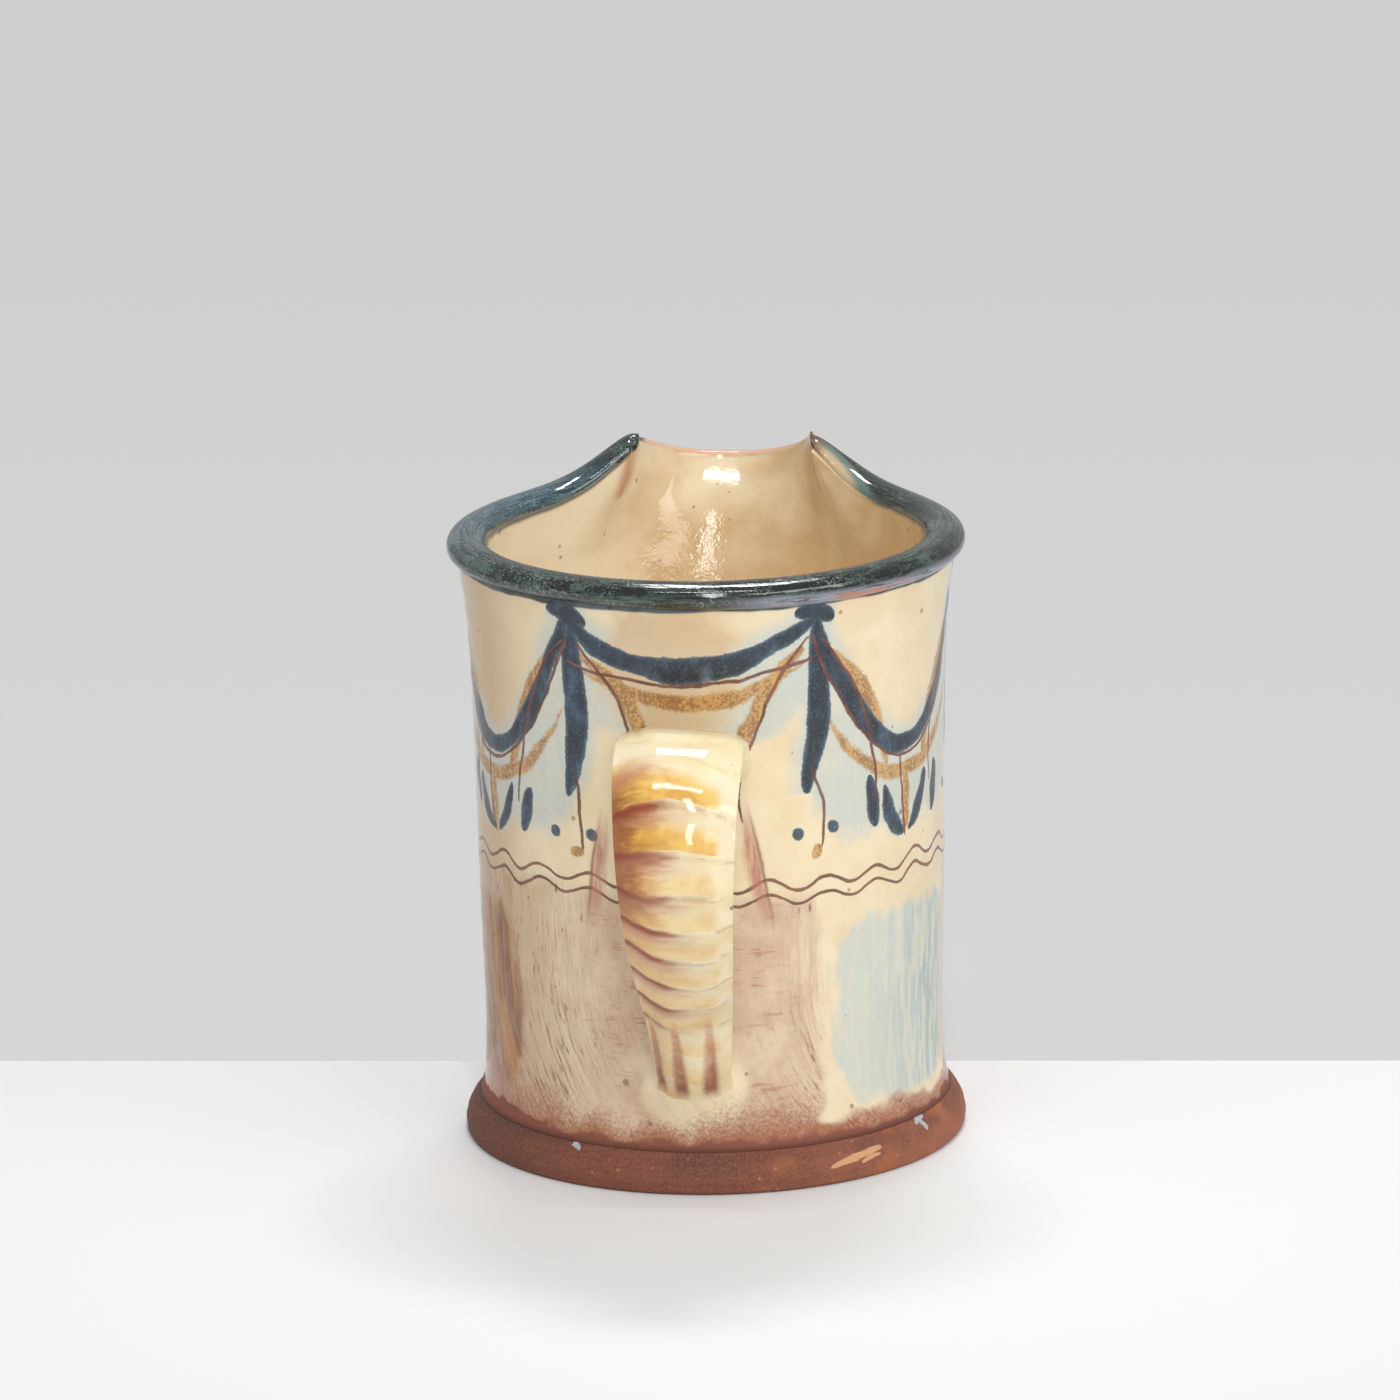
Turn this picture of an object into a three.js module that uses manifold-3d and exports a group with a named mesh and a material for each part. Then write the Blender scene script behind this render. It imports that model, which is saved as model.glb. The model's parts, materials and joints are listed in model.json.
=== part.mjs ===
// A small cream jug in slip-decorated red earthenware, in millimetres, +Z up. It stands on z = 0 with its
// thrown axis on the Z axis, the handle on the -Y side and the spout on the +Y side.
// It is put together as a potter does it, from pieces of soft clay luted with slip: a base slab that stands
// proud of the wall, a thrown wall with a notch for the spout, a spout let into the notch, a rolled rim that
// climbs to a shoulder on each side of the spout, a pulled strap handle, and the coils that are pressed into
// the corners of the joints. Nothing on it moves.
import * as THREE from "three";
import { mergeVertices } from "three/addons/utils/BufferGeometryUtils.js";
import Module from "manifold-3d";

const wasm = await Module();
wasm.setup();

// Thrown wall
const wallRadius = 34.5;
const wallThickness = 3.2;
const wallFlare = 2.5;
const footCove = 1.1;
const rimHeight = 92.4;

// Base slab
const baseOverhang = 2.1;
const baseThickness = 6;
const baseUndercut = 0.7;

// Coil of clay in the inside corner
const cornerCoil = 3;

// Rolled rim
const rollWidth = 6.1;
const rollHeight = 3.9;
const rollOverhang = 1.6;
const rollSlimmingShare = 0.3;
const rollEndRound = 1.6;

// Shoulders, where the rim climbs to the spout
const shoulderRise = 6.5;
const shoulderReach = 7.8;

// Spout
const spoutHalfWidth = 13.6;
const throatHalfWidth = 17;
const throatDrop = 11.5;
const spoutDrop = 31;
const spoutLead = 4;
const channelRecess = 0.6;
const tongueRoot = 2;
const spoutReach = 15;
const spoutThickness = 2.8;
const lipThickness = 1.7;
const peakThickness = 0.5;
const lipDip = 5.4;
const shoulderSetback = 3.6;
const notchMargin = 2.2;

// Strap handle
const handleProjection = 29.5;
const handleCrestDrop = 18.9;
const handleFootRise = 8.5;
const strapWidth = 19;
const strapFootWidth = 9.8;
const strapThickness = 5.2;
const strapFootThickness = 4;
const strapRootWidth = 17.2;
const strapRootThickness = 6.6;
const fluteDepth = 0.75;

// Clay pressed into the corners of the handle's two joints
const upperCoilProud = 3;
const lowerCoilProud = 1.6;
const lowerCoilSpread = 3;
const coilBurial = 1.5;

// Film of luting slip between two pieces of clay
const seam = 0.3;

// Fineness
const ringSteps = 72;
const strapSteps = 32;
const strapPoints = 24;
const rollPoints = 14;

const { smoothstep, lerp } = THREE.MathUtils;
const wallTop = rimHeight - rollHeight - seam;
const wallHeight = wallTop - baseThickness;
const insideRadius = wallRadius - wallThickness;
const rimRadius = wallRadius + wallFlare + rollOverhang - rollWidth / 2;
const shoulderHeight = rimHeight + shoulderRise;
const lipHeight = shoulderHeight - lipDip;
const throatHeight = rimHeight - throatDrop;
const spoutBottom = rimHeight - spoutDrop;
const aboveAll = shoulderHeight + rollHeight;

// Solids

// Skins a row of matching outlines. A closed row runs back into its first outline, an open one gets ends.
function loft(outlines, closed) {
  const rows = outlines.length;
  const count = outlines[0].length;
  const last = (rows - 1) * count;
  const index = [];
  for (let row = 0; row < (closed ? rows : rows - 1); row++) {
    const here = row * count;
    const next = ((row + 1) % rows) * count;
    for (let k = 0; k < count; k++) {
      const m = (k + 1) % count;
      index.push(here + k, here + m, next + m, here + k, next + m, next + k);
    }
  }
  for (let k = 0; !closed && k < count / 2 - 1; k++) {
    const far = count - 1 - k;
    index.push(k + 1, k, far, k + 1, far, far - 1);
    index.push(last + k, last + k + 1, last + far, last + k + 1, last + far - 1, last + far);
  }
  const points = outlines.flat();
  const facesOut = signedVolume(points, index) > 0;
  return new THREE.BufferGeometry().setFromPoints(points).setIndex(facesOut ? index : index.reverse());
}

function signedVolume(points, index) {
  let volume = 0;
  for (let i = 0; i < index.length; i += 3) {
    const [a, b, c] = [points[index[i]], points[index[i + 1]], points[index[i + 2]]];
    volume += a.dot(new THREE.Vector3().crossVectors(b, c)) / 6;
  }
  return volume;
}

function solid(geometry) {
  const bare = geometry.clone();
  bare.deleteAttribute("normal");
  bare.deleteAttribute("uv");
  const merged = mergeVertices(bare, 1e-4);
  const mesh = new wasm.Mesh({
    numProp: 3,
    vertProperties: merged.attributes.position.array,
    triVerts: new Uint32Array(merged.index.array),
  });
  return new wasm.Manifold(mesh);
}

function geometryOf(made) {
  const mesh = made.getMesh();
  const geometry = new THREE.BufferGeometry();
  const corners = new Float32Array(mesh.vertProperties);
  geometry.setAttribute("position", new THREE.BufferAttribute(corners, 3));
  geometry.setIndex(new THREE.BufferAttribute(new Uint32Array(mesh.triVerts), 1));
  const faceted = geometry.toNonIndexed();
  faceted.computeVertexNormals();
  return faceted;
}

// A profile of radius and height, turned round the jug's axis.
function turned(profile) {
  return solid(new THREE.LatheGeometry(profile, ringSteps).rotateX(Math.PI / 2));
}

// A point by its angle from the spout, its radius and its height.
function around(angle, radius, height) {
  return new THREE.Vector3(radius * Math.sin(angle), radius * Math.cos(angle), height);
}

// Angles round the jug, twice as close together at the spout as on average.
function ringAngles() {
  const angles = [];
  for (let step = 0; step < ringSteps; step++) {
    const turn = (2 * Math.PI * step) / ringSteps;
    angles.push(turn - 0.5 * Math.sin(turn));
  }
  return angles;
}

// The rim line

const rollStart = Math.asin(spoutHalfWidth / rimRadius);

// Distance along the rim from the spout, on whichever side is nearer.
function fromSpout(angle) {
  const nearer = Math.min(angle, 2 * Math.PI - angle);
  return Math.max(0, nearer - rollStart) * rimRadius;
}

function rimTop(angle) {
  return rimHeight + shoulderRise * Math.exp(-((fromSpout(angle) / shoulderReach) ** 1.5));
}

// The roll slims towards its two ends.
function rollScale(angle) {
  return 1 - rollSlimmingShare * (1 - smoothstep(fromSpout(angle), 0, 2.5 * shoulderReach));
}

function rollSeat(angle) {
  return rimTop(angle) - rollHeight * rollScale(angle);
}

// Wall

// Outside of the wall: how far it stands out from wallRadius, against the share of the wall's height.
const outsideCurve = new THREE.SplineCurve([
  new THREE.Vector2(footCove, 0),
  new THREE.Vector2(0.42 * footCove, 0.02),
  new THREE.Vector2(0.08 * footCove, 0.055),
  new THREE.Vector2(-0.03 * wallFlare, 0.16),
  new THREE.Vector2(0.12 * wallFlare, 0.35),
  new THREE.Vector2(0.24 * wallFlare, 0.6),
  new THREE.Vector2(0.36 * wallFlare, 0.8),
  new THREE.Vector2(0.62 * wallFlare, 0.92),
  new THREE.Vector2(wallFlare, 1),
]);

// Inside of the wall, which thins upwards and opens a little under the rim.
const insideCurve = new THREE.SplineCurve([
  new THREE.Vector2(0, 0),
  new THREE.Vector2(0.02 * wallFlare, 0.2),
  new THREE.Vector2(0.12 * wallFlare, 0.5),
  new THREE.Vector2(0.26 * wallFlare, 0.8),
  new THREE.Vector2(0.52 * wallFlare, 1),
]);

function outsideProfile(grow) {
  const place = (p) => new THREE.Vector2(wallRadius + p.x + grow, baseThickness + p.y * wallHeight);
  return outsideCurve.getPoints(18).map(place);
}

function insideProfile() {
  const place = (p) => new THREE.Vector2(insideRadius + p.x, baseThickness + p.y * wallHeight);
  return insideCurve.getPoints(9).map(place);
}

// Under the rim the wall rises with the roll; lower down it stays as it was thrown.
function lifted(height, angle) {
  const share = smoothstep(height, wallTop - 2.5 * shoulderRise, wallTop);
  return height + (rollSeat(angle) - seam - wallTop) * share;
}

function wallRing() {
  const section = [...outsideProfile(0), ...insideProfile().reverse()];
  const outline = (angle) => section.map((p) => around(angle, p.x, lifted(p.y, angle)));
  return solid(loft(ringAngles().map(outline), true));
}

// Everything inside the wall, up past the shoulders.
function hollow() {
  const inside = insideProfile();
  const mouth = inside[inside.length - 1].x;
  return turned([
    new THREE.Vector2(0, 0),
    new THREE.Vector2(insideRadius, 0),
    ...inside,
    new THREE.Vector2(mouth, aboveAll),
    new THREE.Vector2(0, aboveAll),
  ]);
}

// The body without its hollow, and without the roll.
function bodyPlug(grow) {
  const outside = outsideProfile(grow);
  return turned([new THREE.Vector2(0, baseThickness), ...outside, new THREE.Vector2(0, wallTop)]);
}

// The notch in the wall is a rounded V that is cut right through along Y.
function notch(grow) {
  const half = throatHalfWidth + spoutThickness + notchMargin + grow;
  const depth = spoutDrop - rollHeight + 2 * notchMargin;
  const bottom = wallTop - depth - grow;
  const knee = wallTop - 0.1 * depth;
  const bend = wallTop - 0.55 * depth;
  const shape = new THREE.Shape();
  shape.moveTo(-half, aboveAll);
  shape.lineTo(-half, knee);
  shape.bezierCurveTo(-half, bend, -0.5 * half, bottom, 0, bottom);
  shape.bezierCurveTo(0.5 * half, bottom, half, bend, half, knee);
  shape.lineTo(half, aboveAll);
  const depthOut = wallRadius + 2 * spoutReach;
  const cut = new THREE.ExtrudeGeometry(shape, { depth: depthOut, bevelEnabled: false, curveSegments: 9 });
  return solid(cut.rotateX(Math.PI / 2).translate(0, depthOut, 0));
}

// Spout

// Half the width of the pouring channel at a height: it opens from just under the spout's bottom to the
// throat, and draws in above it.
function channelHalfWidth(height) {
  const open = smoothstep(height, spoutBottom - spoutLead, throatHeight);
  const drawnIn = smoothstep(height, throatHeight, shoulderHeight);
  return throatHalfWidth * (0.25 + 0.75 * open) - (throatHalfWidth - spoutHalfWidth) * drawnIn;
}

// How far the channel reaches from the jug's axis at a height. At the bottom it lies just within the wall.
function channelReach(height) {
  const share = Math.max(0, height - spoutBottom) / (lipHeight - spoutBottom);
  return insideRadius + (spoutReach + channelRecess) * share ** 1.7 - channelRecess;
}

// Distance from the axis at which the channel's round front begins.
function channelRoot(height) {
  const drawnIn = smoothstep(height, throatHeight, shoulderHeight);
  return insideRadius - lerp(1.5, 0.65, drawnIn) * shoulderSetback;
}

// The spout's wall thins up to the lip, and from there to the points of the shoulders.
function spoutWall(height) {
  const wall = lerp(spoutThickness, lipThickness, smoothstep(height, spoutBottom, lipHeight));
  return lerp(wall, peakThickness, smoothstep(height, lipHeight, shoulderHeight));
}

// A tongue of space with a front of half an ellipse, stacked slice on slice from the jug's axis outwards.
function tongue(grow) {
  const slices = 18;
  const frontSteps = 21;
  const outlines = [];
  for (let slice = 0; slice <= slices; slice++) {
    const height = lerp(spoutBottom - tongueRoot, aboveAll, slice / slices);
    const half = channelHalfWidth(height) + grow(height);
    const root = channelRoot(height);
    const reach = channelReach(height) + grow(height) - root;
    const outline = [new THREE.Vector3(half, 0, height)];
    for (let k = 0; k <= frontSteps; k++) {
      const turn = (Math.PI * k) / frontSteps;
      outline.push(new THREE.Vector3(half * Math.cos(turn), root + reach * Math.sin(turn), height));
    }
    outline.push(new THREE.Vector3(-half, 0, height));
    outlines.push(outline);
  }
  return solid(loft(outlines, false));
}

// What the wire takes off above the lip, which falls straight from the shoulders to its tip.
function aboveLip() {
  const tip = insideRadius + spoutReach;
  const peak = insideRadius + shoulderSetback;
  const far = tip + spoutReach;
  const slope = lipDip / (tip - peak);
  const seat = rollSeat(rollStart) - seam;
  const side = new THREE.Shape();
  side.moveTo(0, seat);
  side.lineTo(peak - 0.5 * shoulderSetback, seat);
  side.lineTo(peak, shoulderHeight);
  side.lineTo(far, shoulderHeight - slope * (far - peak));
  side.lineTo(far, 2 * aboveAll);
  side.lineTo(0, 2 * aboveAll);
  const wide = 4 * throatHalfWidth;
  const sheet = new THREE.ExtrudeGeometry(side, { depth: wide, bevelEnabled: false });
  // The side view is drawn in Y and Z, and pulled out along X.
  return solid(sheet.rotateX(Math.PI / 2).rotateZ(Math.PI / 2).translate(-wide / 2, 0, 0));
}

function channel() {
  return tongue(() => 0);
}

function spout() {
  const beak = tongue(spoutWall).subtract(aboveLip());
  const whole = wallRing().add(beak).subtract(channel()).subtract(hollow());
  return whole.intersect(notch(-seam)).subtract(roll(seam));
}

// Rolled rim

// The roll's section is an ellipse with a flat seat, which shrinks to nothing over the round of each end.
function rollOutline(angle, grow) {
  const flat = 0.82;
  const halfHeight = (rollHeight * rollScale(angle)) / (1 + flat);
  const middle = rollSeat(angle) + flat * halfHeight;
  const toEnd = Math.min(1, fromSpout(angle) / rollEndRound);
  const round = Math.sqrt(1 - 0.8 * (1 - toEnd) ** 2);
  const outline = [];
  for (let k = 0; k < rollPoints; k++) {
    const turn = (2 * Math.PI * (k + 0.5)) / rollPoints - Math.PI / 2;
    const out = ((rollWidth / 2) * rollScale(angle) * round + grow) * Math.cos(turn);
    const up = Math.max((halfHeight * round + grow) * Math.sin(turn), -flat * halfHeight - grow);
    outline.push(around(angle, rimRadius + out, middle + up));
  }
  return outline;
}

function roll(grow) {
  const close = rollEndRound / rimRadius;
  const start = rollStart - grow / rimRadius;
  const end = 2 * Math.PI - start;
  const between = ringAngles().filter((angle) => angle > start + 1.2 * close && angle < end - 1.2 * close);
  const rounds = [0, 0.3, 1].map((share) => share * close);
  const first = rounds.map((step) => start + step);
  const last = rounds.map((step) => end - step).reverse();
  const angles = [...first, ...between, ...last];
  return solid(loft(angles.map((angle) => rollOutline(angle, grow)), false));
}

function rolledRim() {
  return roll(0).subtract(channel());
}

// Handle

// The strap's middle line in the plane through the axis: share of the handle's projection from the wall, and
// share of the height from the handle's foot up to its crest.
const strapLine = [
  [-0.08, 0.84],
  [0.2, 0.925],
  [0.5, 0.955],
  [0.79, 0.89],
  [0.907, 0.735],
  [0.82, 0.57],
  [0.52, 0.37],
  [0.24, 0.215],
  [0.1, 0.09],
  [0, 0.02],
  [-0.1, -0.025],
];

// Share of that line at which the strap is over its crest and at its full width.
const crestShare = 0.16;

function strapCurve() {
  const foot = baseThickness + handleFootRise;
  const crest = rimHeight - handleCrestDrop;
  const place = ([out, up]) =>
    new THREE.Vector3(0, -wallRadius - out * handleProjection, lerp(foot, crest, up));
  return new THREE.CatmullRomCurve3(strapLine.map(place), false, "centripetal");
}

function strapHalfWidth(t) {
  const leaving = smoothstep(t, 0, crestShare);
  const drawn = THREE.MathUtils.clamp((t - crestShare) / (1 - crestShare), 0, 1) ** 1.35;
  return lerp(lerp(strapRootWidth, strapWidth, leaving), strapFootWidth, drawn) / 2;
}

function strapHalfThickness(t) {
  const leaving = smoothstep(t, 0, crestShare);
  return lerp(lerp(strapRootThickness, strapThickness, leaving), strapFootThickness, t) / 2;
}

// Two thumb strokes leave grooves down the outer face of the strap's foot.
function flute(across, t) {
  const left = Math.exp(-(((across + 0.3) / 0.2) ** 2));
  const right = Math.exp(-(((across - 0.48) / 0.2) ** 2));
  return fluteDepth * smoothstep(t, 0.76, 0.88) * (left + right);
}

function strap(grow) {
  const curve = strapCurve();
  const outlines = [];
  for (let step = 0; step <= strapSteps; step++) {
    const t = step / strapSteps;
    const centre = curve.getPointAt(t);
    const along = curve.getTangentAt(t);
    const outward = new THREE.Vector3(0, along.z, -along.y);
    const outline = [];
    for (let k = 0; k < strapPoints; k++) {
      const turn = (2 * Math.PI * (k + 0.5)) / strapPoints - Math.PI / 2;
      const across = Math.sign(Math.cos(turn)) * Math.abs(Math.cos(turn)) ** 0.6;
      const through = Math.sign(Math.sin(turn)) * Math.abs(Math.sin(turn)) ** 0.72;
      const groove = through > 0 ? flute(across, t) : 0;
      const point = centre.clone();
      point.x += across * (strapHalfWidth(t) + grow);
      outline.push(point.addScaledVector(outward, through * (strapHalfThickness(t) + grow) - groove));
    }
    outlines.push(outline);
  }
  return solid(loft(outlines, false));
}

function strapHandle() {
  return strap(0).subtract(bodyPlug(seam));
}

// A mound of soft clay on the wall's outside, as wide, proud and high as given, worked in round the strap.
function pressedClay(height, halfWidth, proud, halfHeight) {
  const mound = new THREE.SphereGeometry(1, 24, 12);
  mound.scale(halfWidth, proud + coilBurial, halfHeight);
  mound.translate(0, coilBurial - wallRadius, height);
  return solid(mound).subtract(bodyPlug(seam)).subtract(strap(seam));
}

// Where the strap's middle line passes into the wall, at its upper or lower end.
function jointHeight(fromEnd) {
  const points = strapCurve().getSpacedPoints(4 * strapSteps);
  const walk = fromEnd ? points.reverse() : points;
  return walk.find((p) => p.y < -wallRadius).z;
}

// The upper clay fills the corner under the strap, where a thumb can press it.
function upperHandleCoil() {
  const underside = jointHeight(false) - strapHalfThickness(0.05);
  return pressedClay(underside, 0.78 * strapHalfWidth(0), upperCoilProud, 1.3 * upperCoilProud);
}

// The lower clay is smoothed out all round the strap's foot.
function lowerHandleCoil() {
  const halfHeight = strapFootThickness + lowerCoilSpread;
  return pressedClay(jointHeight(true), strapHalfWidth(1) + lowerCoilSpread, lowerCoilProud, halfHeight);
}

// Base and corner

function baseSlab() {
  const baseRadius = wallRadius + footCove + baseOverhang;
  const edge = new THREE.SplineCurve([
    new THREE.Vector2(baseRadius - baseUndercut, 0),
    new THREE.Vector2(baseRadius - 0.25 * baseUndercut, 0.1 * baseThickness),
    new THREE.Vector2(baseRadius, 0.36 * baseThickness),
    new THREE.Vector2(baseRadius - 0.3 * baseOverhang, 0.67 * baseThickness),
    new THREE.Vector2(baseRadius - 0.7 * baseOverhang, 0.86 * baseThickness),
    new THREE.Vector2(baseRadius - baseOverhang, baseThickness),
  ]).getPoints(10);
  return turned([new THREE.Vector2(0, 0), ...edge, new THREE.Vector2(0, baseThickness)]);
}

// The coil fills the inside corner and is smoothed to a hollow curve.
function floorCoil() {
  const outer = insideRadius - seam;
  const inner = outer - cornerCoil;
  const top = baseThickness + cornerCoil;
  const sweep = 0.9 * cornerCoil;
  const curve = [];
  for (let k = 6; k >= 0; k--) {
    const turn = (Math.PI / 12) * k;
    curve.push(new THREE.Vector2(inner + sweep * Math.sin(turn), top - sweep * Math.cos(turn)));
  }
  const corner = [
    new THREE.Vector2(inner, baseThickness),
    new THREE.Vector2(outer, baseThickness),
    new THREE.Vector2(outer, top),
  ];
  return turned([...corner, ...curve, corner[0]]);
}

// The jug

const bareClay = new THREE.MeshStandardMaterial({ color: 0x93513a, roughness: 0.75, metalness: 0 });
const creamGlaze = new THREE.MeshStandardMaterial({ color: 0xe6d3ab, roughness: 0.18, metalness: 0 });
const blueGlaze = new THREE.MeshStandardMaterial({ color: 0x33464f, roughness: 0.15, metalness: 0 });
const honeyGlaze = new THREE.MeshStandardMaterial({ color: 0xe2c283, roughness: 0.15, metalness: 0 });

const jug = new THREE.Group();

function piece(name, made, material) {
  const mesh = new THREE.Mesh(geometryOf(made), material.clone());
  mesh.name = name;
  jug.add(mesh);
}

piece("base_slab", baseSlab(), bareClay);
piece("floor_coil", floorCoil(), creamGlaze);
piece("body_wall", wallRing().subtract(notch(0)), creamGlaze);
piece("pouring_spout", spout(), creamGlaze);
piece("rolled_rim", rolledRim(), blueGlaze);
piece("strap_handle", strapHandle(), honeyGlaze);
piece("upper_handle_coil", upperHandleCoil(), creamGlaze);
piece("lower_handle_coil", lowerHandleCoil(), creamGlaze);

export default jug;
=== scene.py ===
import json
import math

import bpy
import numpy as np
from mathutils import Matrix, Quaternion, Vector

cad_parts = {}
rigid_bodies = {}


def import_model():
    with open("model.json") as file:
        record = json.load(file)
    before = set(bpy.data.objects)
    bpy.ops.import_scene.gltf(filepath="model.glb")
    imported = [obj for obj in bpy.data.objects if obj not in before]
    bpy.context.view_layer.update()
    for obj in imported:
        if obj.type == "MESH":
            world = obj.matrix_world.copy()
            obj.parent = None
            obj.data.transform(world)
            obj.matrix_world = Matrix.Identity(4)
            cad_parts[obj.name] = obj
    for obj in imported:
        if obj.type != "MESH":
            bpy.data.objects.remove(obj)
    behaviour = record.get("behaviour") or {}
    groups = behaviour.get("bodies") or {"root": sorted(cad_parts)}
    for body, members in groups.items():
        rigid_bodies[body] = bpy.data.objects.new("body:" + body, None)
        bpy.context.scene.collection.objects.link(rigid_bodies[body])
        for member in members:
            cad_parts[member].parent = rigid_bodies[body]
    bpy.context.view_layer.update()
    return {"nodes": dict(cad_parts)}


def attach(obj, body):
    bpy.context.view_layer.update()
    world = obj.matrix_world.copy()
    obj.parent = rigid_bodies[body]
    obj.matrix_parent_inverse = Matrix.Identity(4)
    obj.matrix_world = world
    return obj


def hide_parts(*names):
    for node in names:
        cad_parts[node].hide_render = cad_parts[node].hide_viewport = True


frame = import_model()
scene = bpy.context.scene
print("cream jug: frame loaded with", len(frame["nodes"]), "solids")

# Sizes are in millimetres in the jug's own frame: thrown axis on Z, handle on -Y, spout on +Y.
mm = 0.001


# Curves that the clay pieces share

def between(low, high, share):
    return low + (high - low) * share


def smoothStep(value, low, high):
    share = np.clip((np.asarray(value, float) - low) / (high - low), 0, 1)
    return share * share * (3 - 2 * share)


def within(value, rise, fall):
    # climbs from 0 to 1 over the first span and goes back over the second
    return smoothStep(value, *rise) * (1 - smoothStep(value, *fall))


def smoothMax(first, second, blend):
    share = np.clip(0.5 + 0.5 * (first - second) / blend, 0, 1)
    return between(second, first, share) + blend * share * (1 - share)


def bump(value, middle, spread):
    return np.exp(-((np.asarray(value, float) - middle) / spread) ** 2)


def smoothLine(points, perSpan, evenly):
    # a line through all the points; each span has its own length unless they are taken evenly
    points = np.asarray(points, float)
    ends = np.vstack([2 * points[0] - points[1], points, 2 * points[-1] - points[-2]])
    line = []
    for a, b, c, d in zip(ends, ends[1:], ends[2:], ends[3:]):
        g, h, k = (1 if evenly else np.linalg.norm(q - p) ** 0.5 for p, q in ((a, b), (b, c), (c, d)))
        leave = ((b - a) / g - (c - a) / (g + h) + (c - b) / h) * h
        arrive = ((c - b) / h - (d - b) / (h + k) + (d - c) / k) * h
        for t in np.arange(perSpan) / perSpan:
            line.append(
                (2 * t**3 - 3 * t**2 + 1) * b + (t**3 - 2 * t**2 + t) * leave
                + (3 * t**2 - 2 * t**3) * c + (t**3 - t**2) * arrive
            )
    line.append(points[-1])
    return np.array(line)


def handWave(angle, seed, terms=5, first=2):
    # a smooth uneven wave round the jug, about -1 to 1, as a hand leaves it
    draw = np.random.default_rng(seed)
    wave = np.zeros_like(np.asarray(angle, float))
    for k in range(first, first + terms):
        wave = wave + draw.normal() / k * np.cos(k * angle + draw.uniform(0, 2 * math.pi))
    return wave


def crowded(fine, crowd, wanted):
    # places along a line that lie closer together where the crowd is larger
    walked = np.cumsum(crowd)
    walked = (walked - walked[0]) / (walked[-1] - walked[0])
    return np.interp(wanted, walked, fine)


def makePiece(name, points, faces, corners=None, marks=None, places=None):
    # points are in millimetres; corners is a bake map, marks and places are kept per point
    mesh = bpy.data.meshes.new(name)
    mesh.from_pydata((np.asarray(points) * mm).tolist(), [], faces)
    mesh.update()
    mesh.shade_smooth()
    if corners is not None:
        layer = mesh.uv_layers.new(name="OFBake")
        layer.uv.foreach_set("vector", np.asarray(corners, np.float32).ravel())
    for label, values in (marks or {}).items():
        made = mesh.attributes.new(label, "FLOAT", "POINT")
        made.data.foreach_set("value", np.asarray(values, np.float32))
    for label, values in (places or {}).items():
        made = mesh.attributes.new(label, "FLOAT_VECTOR", "POINT")
        made.data.foreach_set("vector", np.asarray(values, np.float32).ravel())
    piece = bpy.data.objects.new(name, mesh)
    scene.collection.objects.link(piece)
    return piece


def roundRow(angle, radius, height):
    # one row of points round the jug
    return np.stack([radius * np.sin(angle), radius * np.cos(angle), height + 0 * angle], 1)


def ringFaces(rows, columns):
    # quads between rows of points that each run once round
    faces = []
    for row in range(rows - 1):
        here = row * columns
        for k in range(columns):
            after = (k + 1) % columns
            faces.append((here + k, here + after, here + columns + after, here + columns + k))
    return faces


def fanFaces(first, columns, middle, turnedOver=False):
    # triangles from a closed row of points to one in its middle
    pairs = [(first + k, first + (k + 1) % columns) for k in range(columns)]
    return [(b, a, middle) if turnedOver else (a, b, middle) for a, b in pairs]


def bandCorners(columns, low, high):
    # bake map of one row of quads
    found = []
    for k in range(columns):
        a, b = k / columns, (k + 1) / columns
        found += [(a, low), (b, low), (b, high), (a, high)]
    return found


def fanCorners(columns, edge, tip, turnedOver=False):
    found = []
    for k in range(columns):
        pair = [(k / columns, edge), ((k + 1) / columns, edge)]
        found += [*(reversed(pair) if turnedOver else pair), ((k + 0.5) / columns, tip)]
    return found


# The thrown body with its spout

bodySizes = {
    "wallRadius": 34.5,
    "wallThickness": 3.2,
    "wallFlare": 2.5,
    "footCove": 1.1,
    "wallBottom": 6.0,
    "wallTop": 88.2,
    "rimHeight": 92.4,
    "shoulderRise": 6.5,
    "shoulderReach": 7.8,
    "cornerCoil": 3.0,
    "unevenness": 0.10,
    "seamFilm": 0.3,
    "edgeRounding": 0.8,
    # depth and pitch of the throwing rings
    "outerRings": (0.035, 1.35),
    "innerRings": (0.05, 1.1),
    "floorSwirl": 0.05,
    "floorRise": 0.15,
    "wallSunk": 0.4,
}

spoutSizes = {
    "halfWidth": 13.6,
    "throatHalfWidth": 17.0,
    "throatHeight": 80.9,
    "bottom": 61.4,
    "reach": 15.0,
    "lipHeight": 93.5,
    "shoulderHeight": 98.9,
    "thickness": 2.8,
    "lipThickness": 1.7,
    "peakThickness": 0.5,
    "setback": 3.6,
    "leftPeakDrop": 1.0,
}

rollSizes = {
    "width": 6.1,
    "height": 3.9,
    "overhang": 1.6,
    "endSlimming": 0.3,
    "endRound": 1.6,
    "knob": 1.7,
    # how far each end is bedded beyond the start of the spout, in radians
    "leftBed": 0.024,
    "rightBed": 0.004,
    "thinnerLeft": 0.5,
    "thickerRight": 0.35,
}

wall = bodySizes
beak = spoutSizes
insideRadius = wall["wallRadius"] - wall["wallThickness"]
wallHeight = wall["wallTop"] - wall["wallBottom"]
rimRadius = wall["wallRadius"] + wall["wallFlare"] + rollSizes["overhang"] - rollSizes["width"] / 2
rollStart = math.asin(beak["halfWidth"] / rimRadius)

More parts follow.
